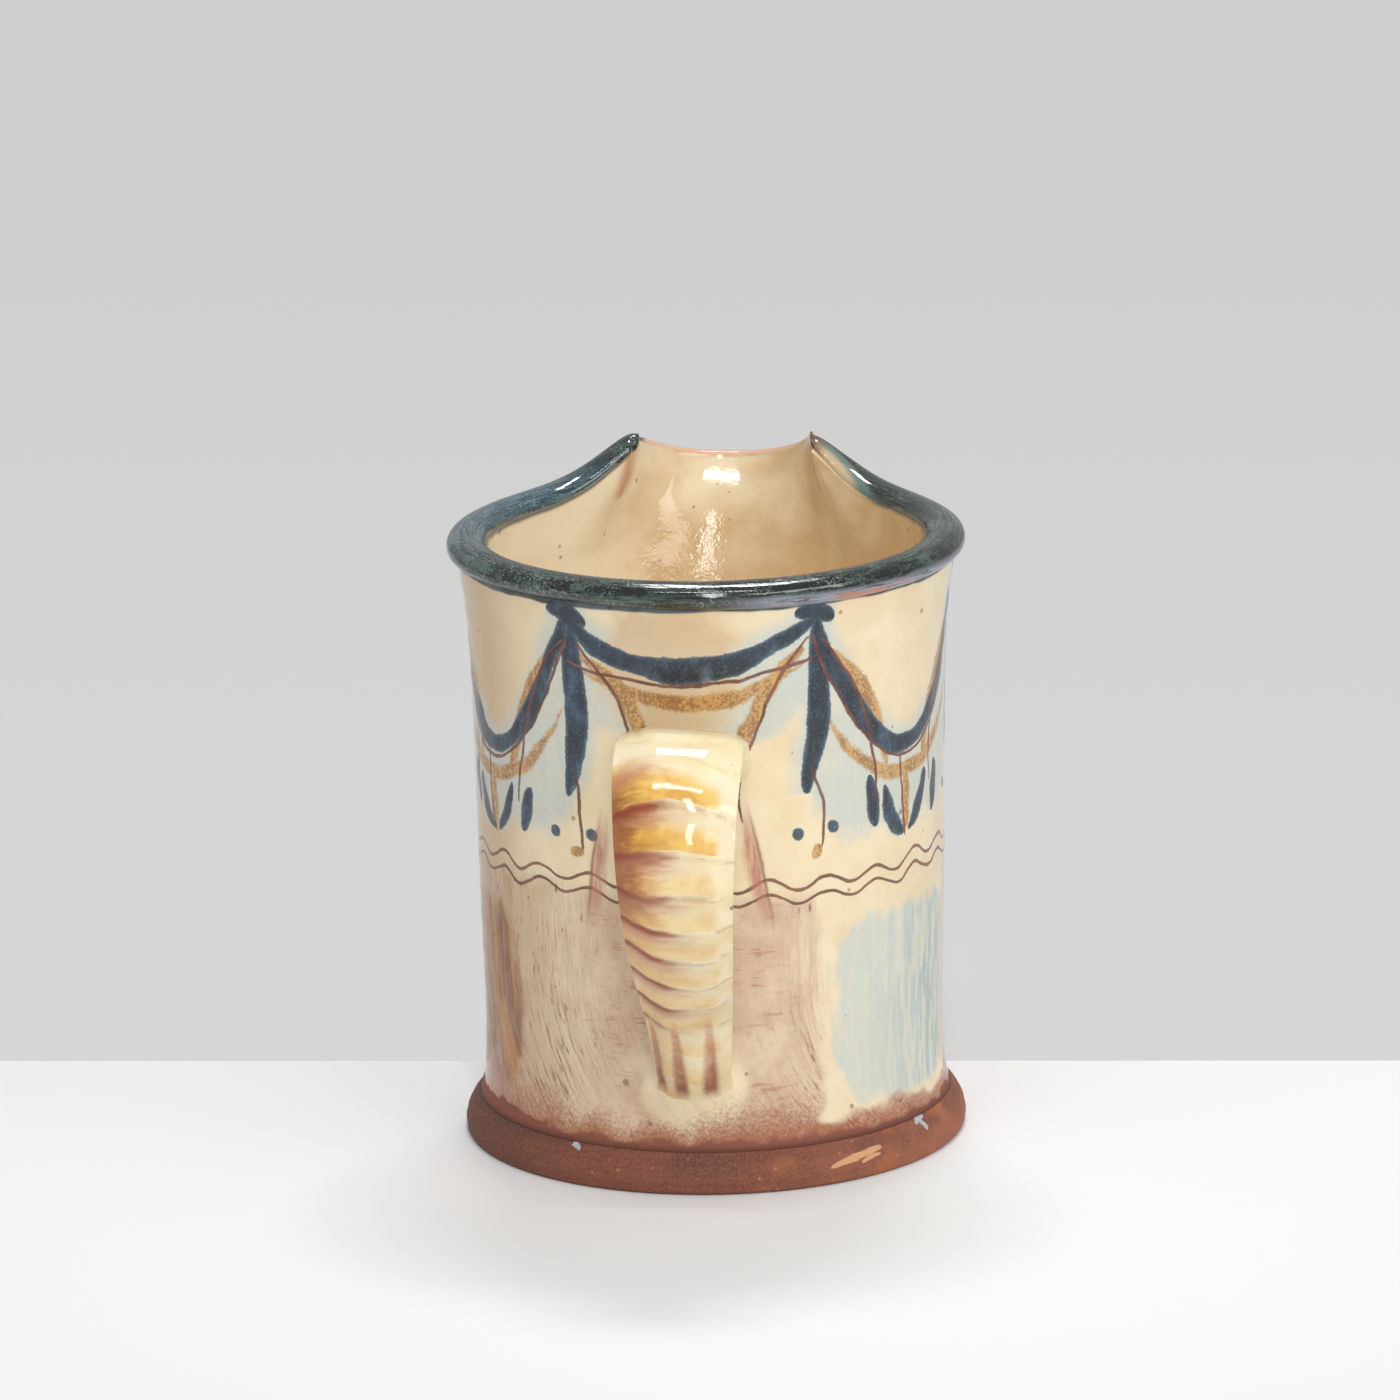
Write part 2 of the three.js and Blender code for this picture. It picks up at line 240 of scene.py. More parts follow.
flare, cove = wall["wallFlare"], wall["footCove"]
outsideLine = smoothLine([
    (cove, 0), (0.42 * cove, 0.02), (0.08 * cove, 0.055), (-0.03 * flare, 0.16), (0.12 * flare, 0.35),
    (0.24 * flare, 0.6), (0.36 * flare, 0.8), (0.62 * flare, 0.92), (flare, 1),
], 12, True)
insideLine = smoothLine([
    (0, 0), (0.02 * flare, 0.2), (0.12 * flare, 0.5), (0.26 * flare, 0.8), (0.52 * flare, 1),
], 12, True)


def fromSpout(angle):
    # distance along the rim from the nearer end of the roll; angles run from the spout, -pi to pi
    return np.maximum(0, np.abs(angle) - rollStart) * rimRadius


def rimTop(angle):
    share = (fromSpout(angle) / wall["shoulderReach"]) ** 1.5
    return wall["rimHeight"] + wall["shoulderRise"] * np.exp(-share)


def rollScale(angle):
    slim = 1 - smoothStep(fromSpout(angle), 0, 2.5 * wall["shoulderReach"])
    return 1 - rollSizes["endSlimming"] * slim


def rollSeat(angle):
    return rimTop(angle) - rollSizes["height"] * rollScale(angle)


def rollHalfHeight(angle):
    return rollSizes["height"] * rollScale(angle) / 1.82


def rollMiddle(angle):
    return rollSeat(angle) + 0.82 * rollHalfHeight(angle)


def thrownHeight(angle, height):
    # the height at which this clay stood before the rim was lifted
    low, top = wall["wallTop"] - 2.5 * wall["shoulderRise"], wall["wallTop"]
    rise = rollSeat(angle) - 0.3 - top
    found = np.array(height, float)
    for _ in range(30):
        found = found - 0.6 * (found + rise * smoothStep(found, low, top) - height)
    return found


def channelHalf(height):
    opening = smoothStep(height, beak["bottom"] - 4, beak["throatHeight"])
    drawnIn = smoothStep(height, beak["throatHeight"], beak["shoulderHeight"])
    narrowing = beak["throatHalfWidth"] - beak["halfWidth"]
    return beak["throatHalfWidth"] * (0.25 + 0.75 * opening) - narrowing * drawnIn


def channelReach(height):
    share = np.maximum(0, height - beak["bottom"]) / (beak["lipHeight"] - beak["bottom"])
    retreat = 0.25 * np.maximum(0, beak["bottom"] - height)
    return insideRadius + (beak["reach"] + 0.6) * share**1.7 - 0.6 - retreat


def channelRoot(height):
    drawnIn = smoothStep(height, beak["throatHeight"], beak["shoulderHeight"])
    return insideRadius - between(1.5, 0.65, drawnIn) * beak["setback"]


def spoutWall(height):
    lower = smoothStep(height, beak["bottom"], beak["lipHeight"])
    upper = smoothStep(height, beak["lipHeight"], beak["shoulderHeight"])
    thick = between(beak["thickness"], beak["lipThickness"], lower)
    return between(thick, beak["peakThickness"], upper)


def tongueRadius(angle, height, grow):
    # distance from the axis to the spout's round front or its straight sides
    half = channelHalf(height) + grow
    root = channelRoot(height)
    reach = np.maximum(channelReach(height) + grow - root, 0.1)
    side, ahead = np.abs(np.sin(angle)), np.cos(angle)
    a = (side / half) ** 2 + (ahead / reach) ** 2
    b = ahead * root / reach**2
    c = (root / reach) ** 2 - 1
    front = (b + np.sqrt(np.maximum(b * b - a * c, 0))) / a
    flank = half / np.maximum(side, 1e-6)
    radius = np.where(front * ahead >= root, front, np.minimum(flank, root / np.maximum(ahead, 1e-6)))
    return np.where(ahead > 0, radius, 0)


def outerRadius(angle, height):
    share = (thrownHeight(angle, height) - wall["wallBottom"]) / wallHeight
    thrown = wall["wallRadius"] + np.interp(share, outsideLine[:, 1], outsideLine[:, 0])
    blend = between(6.0, 0.8, smoothStep(height, 82, 97.5))
    return smoothMax(thrown, tongueRadius(angle, height, spoutWall(height)), blend)


def innerRadius(angle, height):
    share = (height - wall["wallBottom"]) / wallHeight
    thrown = insideRadius + np.interp(share, insideLine[:, 1], insideLine[:, 0])
    blend = between(10.0, 0.6, smoothStep(height, 82, 98.5))
    return smoothMax(thrown, tongueRadius(angle, height, 0), blend) - 0.05 * blend


def lipTrim(angle):
    # height of the spout's cut edge, which falls straight from the shoulders to its tip
    slope = (beak["shoulderHeight"] - beak["lipHeight"]) / (beak["reach"] - beak["setback"])
    peak = insideRadius + beak["setback"]
    height = np.full_like(angle, beak["shoulderHeight"])
    for _ in range(40):
        middle = 0.5 * (outerRadius(angle, height) + innerRadius(angle, height))
        wanted = beak["shoulderHeight"] - slope * np.maximum(0, middle * np.cos(angle) - peak)
        height = height + 0.5 * (wanted - height)
    return height


def ringAngles(count):
    # closest together at the two ends of the roll, and closer at the strap's foot
    fine = np.linspace(-math.pi, math.pi, 20001)
    crowd = 1 + 4.5 * (bump(fine, rollStart, 0.09) + bump(fine, -rollStart, 0.09))
    atHandle = bump(fine, math.pi, 0.3) + bump(fine, -math.pi, 0.3)
    crowd = crowd + 0.6 * bump(fine, 0, 0.3) + 0.8 * atHandle
    return crowded(fine, crowd, (np.arange(count) + 0.5) / count)


strapFoot = {"height": 15.7, "halfWidth": 8.2, "halfHeight": 7.4, "proud": 1.55}


def buildBody():
    columns, outerRows, lipRows, innerRows, coveRows, floorRows = 340, 96, 13, 74, 9, 9
    angle = ringAngles(columns)
    # 1 along the spout's free edge, 0 where the roll covers the wall
    free = 1 - smoothStep(np.abs(angle), rollStart - 0.020, rollStart + 0.012)
    trim = lipTrim(angle) - beak["leftPeakDrop"] * bump(angle, -rollStart, 0.07)
    film = wall["seamFilm"]
    crown = between(rollMiddle(angle) + film, trim, free)
    width = outerRadius(angle, crown) - innerRadius(angle, crown)
    rounding = np.minimum(0.45 * width, wall["edgeRounding"])
    outerTop = between(rollSeat(angle) + film + 0.05, crown - rounding, free)
    innerTop = between(rollMiddle(angle), crown - rounding, free)
    arch = between(film, rounding, free)

    wobble = wall["unevenness"]
    bottom, floorTop = wall["wallBottom"] - wall["wallSunk"], wall["wallBottom"] + wall["floorRise"]
    rows, below, side = [], [], []

    def addRow(radius, height, inward):
        rows.append(roundRow(angle, radius, height))
        below.append(crown - height)
        side.append(np.full(columns, inward))

    def rings(height, sizes, seed):
        return sizes[0] * np.sin(height * sizes[1] + 2 * handWave(angle, seed))

    for share in 1 - (1 - np.linspace(0, 1, outerRows)) ** 1.35:
        height = between(bottom, outerTop, share)
        radius = outerRadius(angle, np.maximum(height, wall["wallBottom"]))
        calm = within(height, (8, 20), (84, 90))
        radius = radius + wobble * calm * handWave(angle + 0.006 * height, 3) - 0.5 * wobble * calm
        radius = radius + calm * rings(height, wall["outerRings"], 7)
        foot = strapFoot
        across = radius * np.sin(math.pi - angle) / foot["halfWidth"]
        along = (height - foot["height"]) / foot["halfHeight"]
        mound = np.clip(1 - across**2 - along**2, 0, 1) * (np.cos(angle) < 0)
        addRow(radius + foot["proud"] * mound**1.15, height, 0.0)
    outer, inner = outerRadius(angle, outerTop), innerRadius(angle, innerTop)
    for turn in np.linspace(0, math.pi, lipRows)[1:-1]:
        share = (1 - math.cos(turn)) / 2
        height = between(outerTop, innerTop, share) + arch * math.sin(turn)
        addRow(between(outer, inner, share), height, share)
    coil = wall["cornerCoil"]
    coveTop = wall["wallBottom"] + coil
    for share in np.linspace(0, 1, innerRows) ** 1.35:
        height = between(innerTop, coveTop, share)
        calm = within(height, (10, 20), (80, 90))
        addRow(innerRadius(angle, height) + calm * rings(height, wall["innerRings"], 9), height, 1.0)
    for turn in np.linspace(0, math.pi / 2, coveRows + 1)[1:]:
        height = coveTop - (coil - wall["floorRise"]) * math.sin(turn)
        addRow(innerRadius(angle, coveTop) - coil * (1 - math.cos(turn)), height, 1.0)
    for share in np.linspace(1, 0.03, floorRows + 1)[1:]:
        swirl = wall["floorSwirl"] * np.sin(angle + 40 * share)
        addRow((insideRadius - coil) * share, floorTop + swirl * share, 1.0)

    points = np.concatenate(rows)
    faces = ringFaces(len(rows), columns)
    centre = len(points)
    points = np.vstack([points, [[0, 0, floorTop], [0, 0, bottom]]])
    last = (len(rows) - 1) * columns
    faces += fanFaces(last, columns, centre) + fanFaces(0, columns, centre + 1, True)

    # bake map: the outside in the upper part of the square, the inside under it
    outsideRows = outerRows + lipRows - 2
    outside = np.linspace(0.42, 0.995, outsideRows + 1)
    inside = np.linspace(0.41, 0.005, len(rows) + 1 - outsideRows)
    corners = []
    for low, high in [*zip(outside, outside[1:]), *zip(inside, inside[1:-1])]:
        corners += bandCorners(columns, low, high)
    corners += fanCorners(columns, *inside[-2:]) + fanCorners(columns, 0.415, 0.419, True)
    marks = {
        "inside": np.concatenate([*side, [1, 0]]),
        "belowRim": np.concatenate([*below, [86, 86]]),
        "spoutLip": np.concatenate([np.tile(free, len(rows)), [0, 0]]),
    }
    return makePiece("glazedBody", points, faces, corners, marks)


body = buildBody()
print("glazed body:", len(body.data.polygons), "faces")


# The rolled rim

def buildRoll():
    columns, ring = 330, 26
    roll = rollSizes
    leftStart, rightStart = roll["leftBed"] - rollStart, rollStart - roll["rightBed"]
    fine = np.linspace(0, 1, 20001)
    sweep = 2 * math.pi + leftStart - rightStart
    crowd = 1 + 6 * (bump(fine, 0, 0.03) + bump(fine, 1, 0.03))
    share = crowded(fine, crowd, np.linspace(0, 1, columns))
    rows = []
    for s in share:
        run = rightStart + sweep * s
        angle = run if run <= math.pi else run - 2 * math.pi
        scale = float(rollScale(angle))
        toRight, toLeft = s * sweep * rimRadius, (1 - s) * sweep * rimRadius
        right = min(1, (0.06 + toRight) / 7.0) ** 0.5
        left = math.sqrt(max(0.0, 1 - (1 - min(1, toLeft / roll["endRound"])) ** 2))
        roundOff = max(0.03, right * left)
        wave = float(handWave(angle, 21, 6))
        front = max(0.0, -math.cos(angle))
        thin = roll["thinnerLeft"] * front * float(smoothStep(math.sin(angle), 0.15, -0.6))
        thick = roll["thickerRight"] * front * float(smoothStep(math.sin(angle), 0.15, 0.6))
        outer = (roll["width"] / 2) * scale * roundOff - 0.05 - 0.05 * abs(wave)
        fullHeight = float(rollHalfHeight(angle))
        halfHeight = fullHeight * (0.25 + 0.75 * roundOff)
        middle = float(rollMiddle(angle)) + (fullHeight - halfHeight) * 0.88
        lowTop = float(innerRadius(np.array([angle]), np.array([middle]))[0])
        inner = min(roll["width"] / 2, rimRadius - lowTop + 0.06)
        knob = roll["knob"] * left * float(smoothStep(toLeft, 9, 0))
        inner = max(0.25, inner * (0.35 + 0.65 * roundOff), knob)
        below = 0.82 * halfHeight + 0.10 * wave - thin + thick + 0.25
        for k in range(ring):
            turn = 2 * math.pi * (k + 0.5) / ring
            out = (outer if math.cos(turn) > 0 else inner) * math.cos(turn)
            rise = halfHeight * math.copysign(abs(math.sin(turn)) ** 0.88, math.sin(turn))
            if rise < 0:
                rise = -below * abs(math.sin(turn)) ** 0.85
            radius = rimRadius + out
            rows.append((radius * math.sin(angle), radius * math.cos(angle), middle + rise))
    faces, corners = [], []
    for step in range(columns - 1):
        here, after = step * ring, (step + 1) * ring
        for k in range(ring):
            m = (k + 1) % ring
            faces.append((here + k, after + k, after + m, here + m))
            a, b = step / (columns - 1), (step + 1) / (columns - 1)
            corners += [(a, k / ring), (b, k / ring), (b, (k + 1) / ring), (a, (k + 1) / ring)]
    faces.append(tuple(range(ring)))
    faces.append(tuple(reversed(range((columns - 1) * ring, columns * ring))))
    corners += [(0.001 * math.cos(k), 0.001 * k) for k in range(ring)]
    corners += [(1 - 0.001 * math.cos(k), 0.001 * k) for k in range(ring)]
    return makePiece("rimRoll", rows, faces, corners)


rim = buildRoll()
print("rolled rim:", len(rim.data.polygons), "faces")


# The pulled strap

strapSizes = {
    "projection": 29.5,
    "crestDrop": 18.9,
    "footRise": 8.5,
    "width": 19.0,
    "footWidth": 9.8,
    "thickness": 5.2,
    "footThickness": 4.0,
    "rootWidth": 17.2,
    "rootThickness": 6.6,
    "crestShare": 0.16,
    "grooveDepth": 0.6,
    "ripple": 0.2,
    "ripplePitch": 6.2,
    "rippleStart": 30.3,
    "crown": 1.3,
    "fold": 0.5,
    "lean": 0.055,
    "bedDepth": 1.3,
    # how much the strap grows at its two ends, and over what length
    "rootFillet": (0.5, 4.5),
    "footFillet": (0.7, 2.2),
    # places in millimetres along the strap
    "ripplesSpan": ((26, 31), (68, 76)),
    "ripplesWane": (35, 42),
    "crownStart": (17, 24),
    "foldPlace": (17, 7),
    # shares of the strap's length
    "groovesSpan": ((0.76, 0.87), (0.92, 0.975)),
    "leanSpan": ((0.02, 0.12), (0.35, 0.6)),
}

# thumb grooves across the strap: place, half width, depth, and half width of the wiped clay
strapGrooves = ((-0.33, 0.15, 1.0, 0.24), (0.47, 0.15, 1.0, 0.26), (-0.88, 0.10, 0.7, 0.16))

# the strap's middle line: out from the wall and up, as shares of its projection and height
strapLine = [
    (-0.08, 0.84), (0.2, 0.925), (0.5, 0.955), (0.79, 0.89), (0.907, 0.735), (0.82, 0.57),
    (0.52, 0.37), (0.24, 0.215), (0.1, 0.09), (0, 0.02), (-0.1, -0.025),
]


def buildStrap():
    sizes = strapSizes
    steps, ring = 170, 44
    foot = wall["wallBottom"] + sizes["footRise"]
    crest = wall["rimHeight"] - sizes["crestDrop"]
    reach = sizes["projection"]
    line = smoothLine([
        (-wall["wallRadius"] - out * reach, between(foot, crest, up)) for out, up in strapLine
    ], 40, False)
    lengths = np.concatenate([[0], np.cumsum(np.linalg.norm(np.diff(line, axis=0), axis=1))])
    total = lengths[-1]
    shares = np.linspace(0, 1, steps)
    y = np.interp(shares * total, lengths, line[:, 0])
    z = np.interp(shares * total, lengths, line[:, 1])
    alongY, alongZ = np.gradient(y), np.gradient(z)
    size = np.hypot(alongY, alongZ)
    alongY, alongZ = alongY / size, alongZ / size
    bed = wall["wallRadius"] - sizes["bedDepth"]
    rows, places = [], []
    for n, t in enumerate(shares):
        walked = t * total
        leaving = float(smoothStep(t, 0, sizes["crestShare"]))
        drawn = float(np.clip((t - sizes["crestShare"]) / (1 - sizes["crestShare"]), 0, 1)) ** 1.35
        wide = between(sizes["rootWidth"], sizes["width"], leaving)
        thick = between(sizes["rootThickness"], sizes["thickness"], leaving)
        halfWidth = between(wide, sizes["footWidth"], drawn) / 2
        halfThick = between(thick, sizes["footThickness"], t) / 2
        for k in range(ring):
            turn = 2 * math.pi * (k + 0.5) / ring - math.pi / 2
            across = math.copysign(abs(math.cos(turn)) ** 0.6, math.cos(turn))
            through = math.copysign(abs(math.sin(turn)) ** 0.72, math.sin(turn))
            groove = 0
            if through > 0:
                pull = float(within(t, *sizes["groovesSpan"]))
                for middle, half, deep, _ in strapGrooves:
                    groove += sizes["grooveDepth"] * pull * deep * float(bump(across, middle, half))
                fade = between(1, 0.16, float(smoothStep(walked, *sizes["ripplesWane"])))
                fade *= float(within(walked, *sizes["ripplesSpan"]))
                waves = (walked - sizes["rippleStart"]) / sizes["ripplePitch"] - 0.10 * across**2
                beat = math.cos(2 * math.pi * waves)
                groove += sizes["ripple"] * fade * (1 - beat) * through
            x = across * halfWidth
            crown = sizes["crown"] * across**2 * float(smoothStep(walked, *sizes["crownStart"]))
            folded = smoothStep(-across, 0.5, 0.66) * bump(walked, *sizes["foldPlace"])
            fold = sizes["fold"] * float(folded)
            out = through * halfThick - groove - (crown + fold) * float(smoothStep(through, 0, 0.8))
            py, pz = y[n] + out * alongZ[n], z[n] - out * alongY[n]
            clear = math.hypot(x, py) - wall["wallRadius"]
            fillet, span = sizes["rootFillet"] if t < 0.5 else sizes["footFillet"]
            grow = fillet * max(0.0, 1 - max(clear, 0) / span) ** 2
            x += grow * across
            py, pz = py + grow * through * alongZ[n], pz - grow * through * alongY[n]
            pz -= sizes["lean"] * x * float(within(t, *sizes["leanSpan"]))
            # both ends stop inside the wall
            buried = bed - math.hypot(x, py)
            if buried > 0:
                py = -math.sqrt((bed - 0.15 * buried) ** 2 - x**2)
            rows.append((x, py, pz))
            places.append((across, walked, through))
    faces, corners = ringFaces(steps, ring), []
    for step in range(steps - 1):
        corners += bandCorners(ring, step / (steps - 1), (step + 1) / (steps - 1))
    faces.append(tuple(reversed(range(ring))))
    faces.append(tuple(range((steps - 1) * ring, steps * ring)))
    corners += [(0.001 * k, 0.001) for k in range(ring)] * 2
    return makePiece("strapHandle", rows, faces, corners, None, {"strapPlace": places})


handle = buildStrap()
print("strap:", len(handle.data.polygons), "faces")


# The bare clay foot

footSizes = {
    "radius": 37.7,
    "height": 6.0,
    "overhang": 2.1,
    "undercut": 0.7,
    "unevenness": 0.14,
    "ridgeDepth": 0.05,
    "ridgePitch": 4.2,
}


def buildFoot():
    sizes = footSizes
    columns = 260
    angle = np.linspace(0, 2 * math.pi, columns, endpoint=False)
    under, over, high = sizes["undercut"], sizes["overhang"], sizes["height"]
    edge = smoothLine([
        (-under, 0), (-0.25 * under, 0.1 * high), (0, 0.36 * high), (-0.3 * over, 0.67 * high),
        (-0.7 * over, 0.86 * high), (-over, high),
    ], 6, True)
    edge = np.vstack([[-under - 0.8, 0], [-under - 0.3, 0.02], [-under - 0.08, 0.1], edge[1:]])
    rows = []
    for offset, height in [(-20, 0), (-6, 0), *edge, (-over - 2.5, high), (-over - 14, high)]:
        band = float(within(height, (0.3, 1.4), (5.0, high)))
        wave = sizes["unevenness"] * band * (handWave(angle, 31) - 0.9)
        ridge = sizes["ridgeDepth"] * band * np.sin(height * sizes["ridgePitch"] + handWave(angle, 33))
        radius = np.minimum(sizes["radius"] + offset + wave + ridge, sizes["radius"])
        rows.append(roundRow(angle, radius, height))
    points = np.concatenate(rows)
    faces = ringFaces(len(rows), columns)
    centre = len(points)
    points = np.vstack([points, [[0, 0, 0], [0, 0, high]]])
    last = (len(rows) - 1) * columns
    faces += fanFaces(0, columns, centre, True) + fanFaces(last, columns, centre + 1)
    corners = []
    steps = np.linspace(0.05, 0.95, len(rows))
    for bottom, top in zip(steps, steps[1:]):
        corners += bandCorners(columns, bottom, top)
    corners += fanCorners(columns, 0.05, 0.0, True) + fanCorners(columns, 0.95, 1.0)
    return makePiece("clayFoot", points, faces, corners)


clayFoot = buildFoot()
print("foot:", len(clayFoot.data.polygons), "faces")

for piece, nodes, slot in (
    (body, ("body_wall", "pouring_spout", "floor_coil", "lower_handle_coil"), "cream_glaze"),
    (rim, ("rolled_rim",), "rim_glaze"),
    (handle, ("strap_handle", "upper_handle_coil"), "honey_glaze"),
    (clayFoot, ("base_slab",), "bare_clay"),
):
    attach(piece, "root")
    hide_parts(*nodes)


# Node helpers

opened = None  # the node tree that is being filled


def tone(red, green, blue):
    # a colour as it is seen, 0 to 255, for a socket
    parts = [c / 255 for c in (red, green, blue)]
    return (*[c / 12.92 if c <= 0.04045 else ((c + 0.055) / 1.055) ** 2.4 for c in parts], 1.0)


def openTree(tree):
    global opened
    opened = tree
    return tree


def addNode(kind, **settings):
    node = opened.nodes.new("ShaderNode" + kind)
    for name, value in settings.items():
        setattr(node, name, value)
    return node


def feed(socket, value):
    value = getattr(value, "socket", value)
    if isinstance(value, bpy.types.NodeSocket):
        opened.links.new(value, socket)
    elif value is not None:
        socket.default_value = value


def fed(node, sockets, values, result=0):
    # puts the values into the node's sockets and gives its result
    for socket, value in zip(sockets, values):
        feed(node.inputs[socket], value)
    return Field(node.outputs[result])


def maths(operation, *values, clamp=False):
    return fed(addNode("Math", operation=operation, use_clamp=clamp), range(3), values)


class Field:
    # a socket that can be reckoned with as a number
    def __init__(self, socket):
        self.socket = socket

    def __add__(self, other):
        return maths("ADD", self, other)

    def __radd__(self, other):
        return maths("ADD", other, self)

    def __sub__(self, other):
        return maths("SUBTRACT", self, other)

    def __rsub__(self, other):
        return maths("SUBTRACT", other, self)

    def __mul__(self, other):
        return maths("MULTIPLY", self, other)

    def __rmul__(self, other):
        return maths("MULTIPLY", other, self)

    def __truediv__(self, other):
        return maths("DIVIDE", self, other)

    def __rtruediv__(self, other):
        return maths("DIVIDE", other, self)

    def __pow__(self, other):
        return maths("POWER", self, other)

    def __abs__(self):
        return maths("ABSOLUTE", self)


def ramp(value, low, high, toLow=0.0, toHigh=1.0):
    node = addNode("MapRange", interpolation_type="SMOOTHSTEP")
    return fed(node, range(5), (value, low, high, toLow, toHigh))


def mixed(share, first, second):
    # each colour is a field, or three numbers from a dictionary
    pair = [tone(*colour) if isinstance(colour, tuple) else colour for colour in (first, second)]
    return fed(addNode("Mix", data_type="RGBA"), (0, 6, 7), (share, *pair), 2)


def noise(place, size, detail=2.0, roughness=0.5, distortion=0.0, result=0):
    # soft noise with blobs about this many millimetres wide
    sockets = ("Vector", "Scale", "Detail", "Roughness", "Distortion")
    return fed(addNode("TexNoise"), sockets, (place, 1 / size, detail, roughness, distortion), result)


def mark(name, result="Fac"):
    # a value that is kept in the points of the piece
    return Field(addNode("Attribute", attribute_name=name).outputs[result])


def addRelief(shader, strength, height, depth=0.0002):
    relief = fed(addNode("Bump"), ("Strength", "Distance", "Height"), (strength, depth, height))
    feed(shader.inputs["Normal"], relief)


def newMaterial(name):
    material = bpy.data.materials.new(name)
    material.use_nodes = True
    return material, openTree(material.node_tree).nodes["Principled BSDF"]


def newGroup(name, inputs):
    # the group is built once and placed in each material; inputs are names with their first values
    tree = openTree(bpy.data.node_groups.new(name, "ShaderNodeTree"))
    for label, value in inputs.items():
        kind = "NodeSocketVector" if isinstance(value, tuple) else "NodeSocketFloat"
        tree.interface.new_socket(label, in_out="INPUT", socket_type=kind).default_value = value
    given = tree.nodes.new("NodeGroupInput").outputs
    return tree, *(Field(given[label]) for label in inputs)


def closeGroup(tree, results):
    for label, value in results.items():
        kind = "NodeSocketVector" if value.socket.type == "VECTOR" else "NodeSocketFloat"
        tree.interface.new_socket(label, in_out="OUTPUT", socket_type=kind)
    made = tree.nodes.new("NodeGroupOutput").inputs
    for label, value in results.items():
        feed(made[label], value)
    return tree


def placeGroup(group, *values):
    node = addNode("Group")
    node.node_tree = group
    for socket, value in zip(node.inputs, values):
        feed(socket, value)
    return [Field(socket) for socket in node.outputs]


def vectorSum(operation, first, second=None, scale=None, result=0):
    return fed(addNode("VectorMath", operation=operation), (0, 1, 3), (first, second, scale), result)


def joined(x, y, z=0.0):
    return fed(addNode("CombineXYZ"), range(3), (x, y, z))


def parted(vector):
    node = addNode("SeparateXYZ")
    feed(node.inputs[0], vector)
    return [Field(socket) for socket in node.outputs]


def highest(*values):
    found = values[0]
    for value in values[1:]:
        found = maths("MAXIMUM", found, value)
    return found


def uneven(value, pattern, amount):
    # the value pushed up and down by a 0 to 1 pattern
    return maths("MULTIPLY_ADD", pattern - 0.5, amount, value)


def stretched(spot, x, y, z):
    return vectorSum("MULTIPLY", spot, (x, y, z))


def turned(vector, angle):
    # the vector turned round the jug's axis
    return fed(addNode("VectorRotate", rotation_type="Z_AXIS"), ("Vector", "Angle"), (vector, angle))


def buildJugPlace():
    # millimetres round the wall from the handle and up from the table, the spot itself, and the turn
    group, place = newGroup("jugPlace", {"Place": (0, 0, 0)})
    spot = vectorSum("SCALE", place, None, 1000.0)
    x, y, z = parted(spot)
    turn = maths("ARCTAN2", x, y * -1.0)
    return closeGroup(group, {"Spot": spot, "Around": turn * wall["wallRadius"], "Up": z, "Turn": turn})


def buildPaintEdge():
    # paint laid along a line: Off is the distance from the line, Grain roughens the edge
    group, off, half, grain, rough, soft = newGroup(
        "paintEdge", {"Off": 0.0, "Half": 1.0, "Grain": 0.5, "Rough": 0.5, "Soft": 0.25}
    )
    inset = half - abs(off)
    ragged = inset + (grain - 0.5) * rough
    return closeGroup(group, {"Paint": ramp(ragged, soft * -0.5, soft * 0.5), "Inset": inset})


def buildBrushStroke():
    # a single bent stroke that starts and ends thin
    group, flat, start, angle, length, bend, half, taper = newGroup("brushStroke", {
        "Flat": (0, 0, 0), "Start": (0, 0, 0), "Angle": 0.0, "Length": 20.0, "Bend": 0.0, "Half": 1.5,
        "Taper": 0.5,
    })
    x, y, _ = parted(turned(vectorSum("SUBTRACT", flat, start), angle * -1.0))
    along = x / length
    belly = along * (1.0 - along) * 4.0
    wide = half * highest(belly, 0.0) ** taper
    beyond = maths("LESS_THAN", belly, 0.0) * 3.0
    return closeGroup(group, {"Off": y - belly * bend, "Half": wide - beyond, "Along": along})


def buildSwagLine():
    # a garland line that hangs between two points at the same height
    group, around, up, halfSpan, top, sag = newGroup(
        "swagLine", {"Around": 0.0, "Up": 0.0, "Half Span": 18.0, "Top": 84.0, "Sag": 18.0}
    )
    share = around / halfSpan
    off = up - (top - sag * (1.0 - share * share))
    slope = share * 2.0 * sag / halfSpan
    steep = maths("SQRT", maths("MULTIPLY_ADD", slope, slope, 1.0))
    return closeGroup(group, {"Off": off / steep, "Share": share})


def buildSpeckle():
    # small round specks: Size and Gap are in millimetres, Share is how many cells hold one
    group, spot, gap, size, share = newGroup(
        "speckle", {"Spot": (0, 0, 0), "Gap": 3.0, "Size": 0.4, "Share": 0.3}
    )
    cell = addNode("TexVoronoi", feature="F1")
    feed(cell.inputs["Vector"], spot)
    feed(cell.inputs["Scale"], 1.0 / gap)
    red, green, _ = parted(cell.outputs["Color"])
    dot = ramp(size * (green + 0.3) - cell.outputs["Distance"] * gap, -0.08, 0.12)
    return closeGroup(group, {"Speck": dot * maths("LESS_THAN", red, share)})


def jugAxes():
    return placeGroup(jugPlace, addNode("TexCoord").outputs["Object"])


def stroke(flat, start, direction, *shape):
    return placeGroup(brushStroke, flat, (*start, 0.0), math.radians(direction), *shape)


def specksAt(spot, sizes):
    return placeGroup(speckle, spot, *sizes)[0]


jugPlace = buildJugPlace()
paintEdge = buildPaintEdge()
brushStroke = buildBrushStroke()
swagLine = buildSwagLine()
speckle = buildSpeckle()
print("shared node groups built")


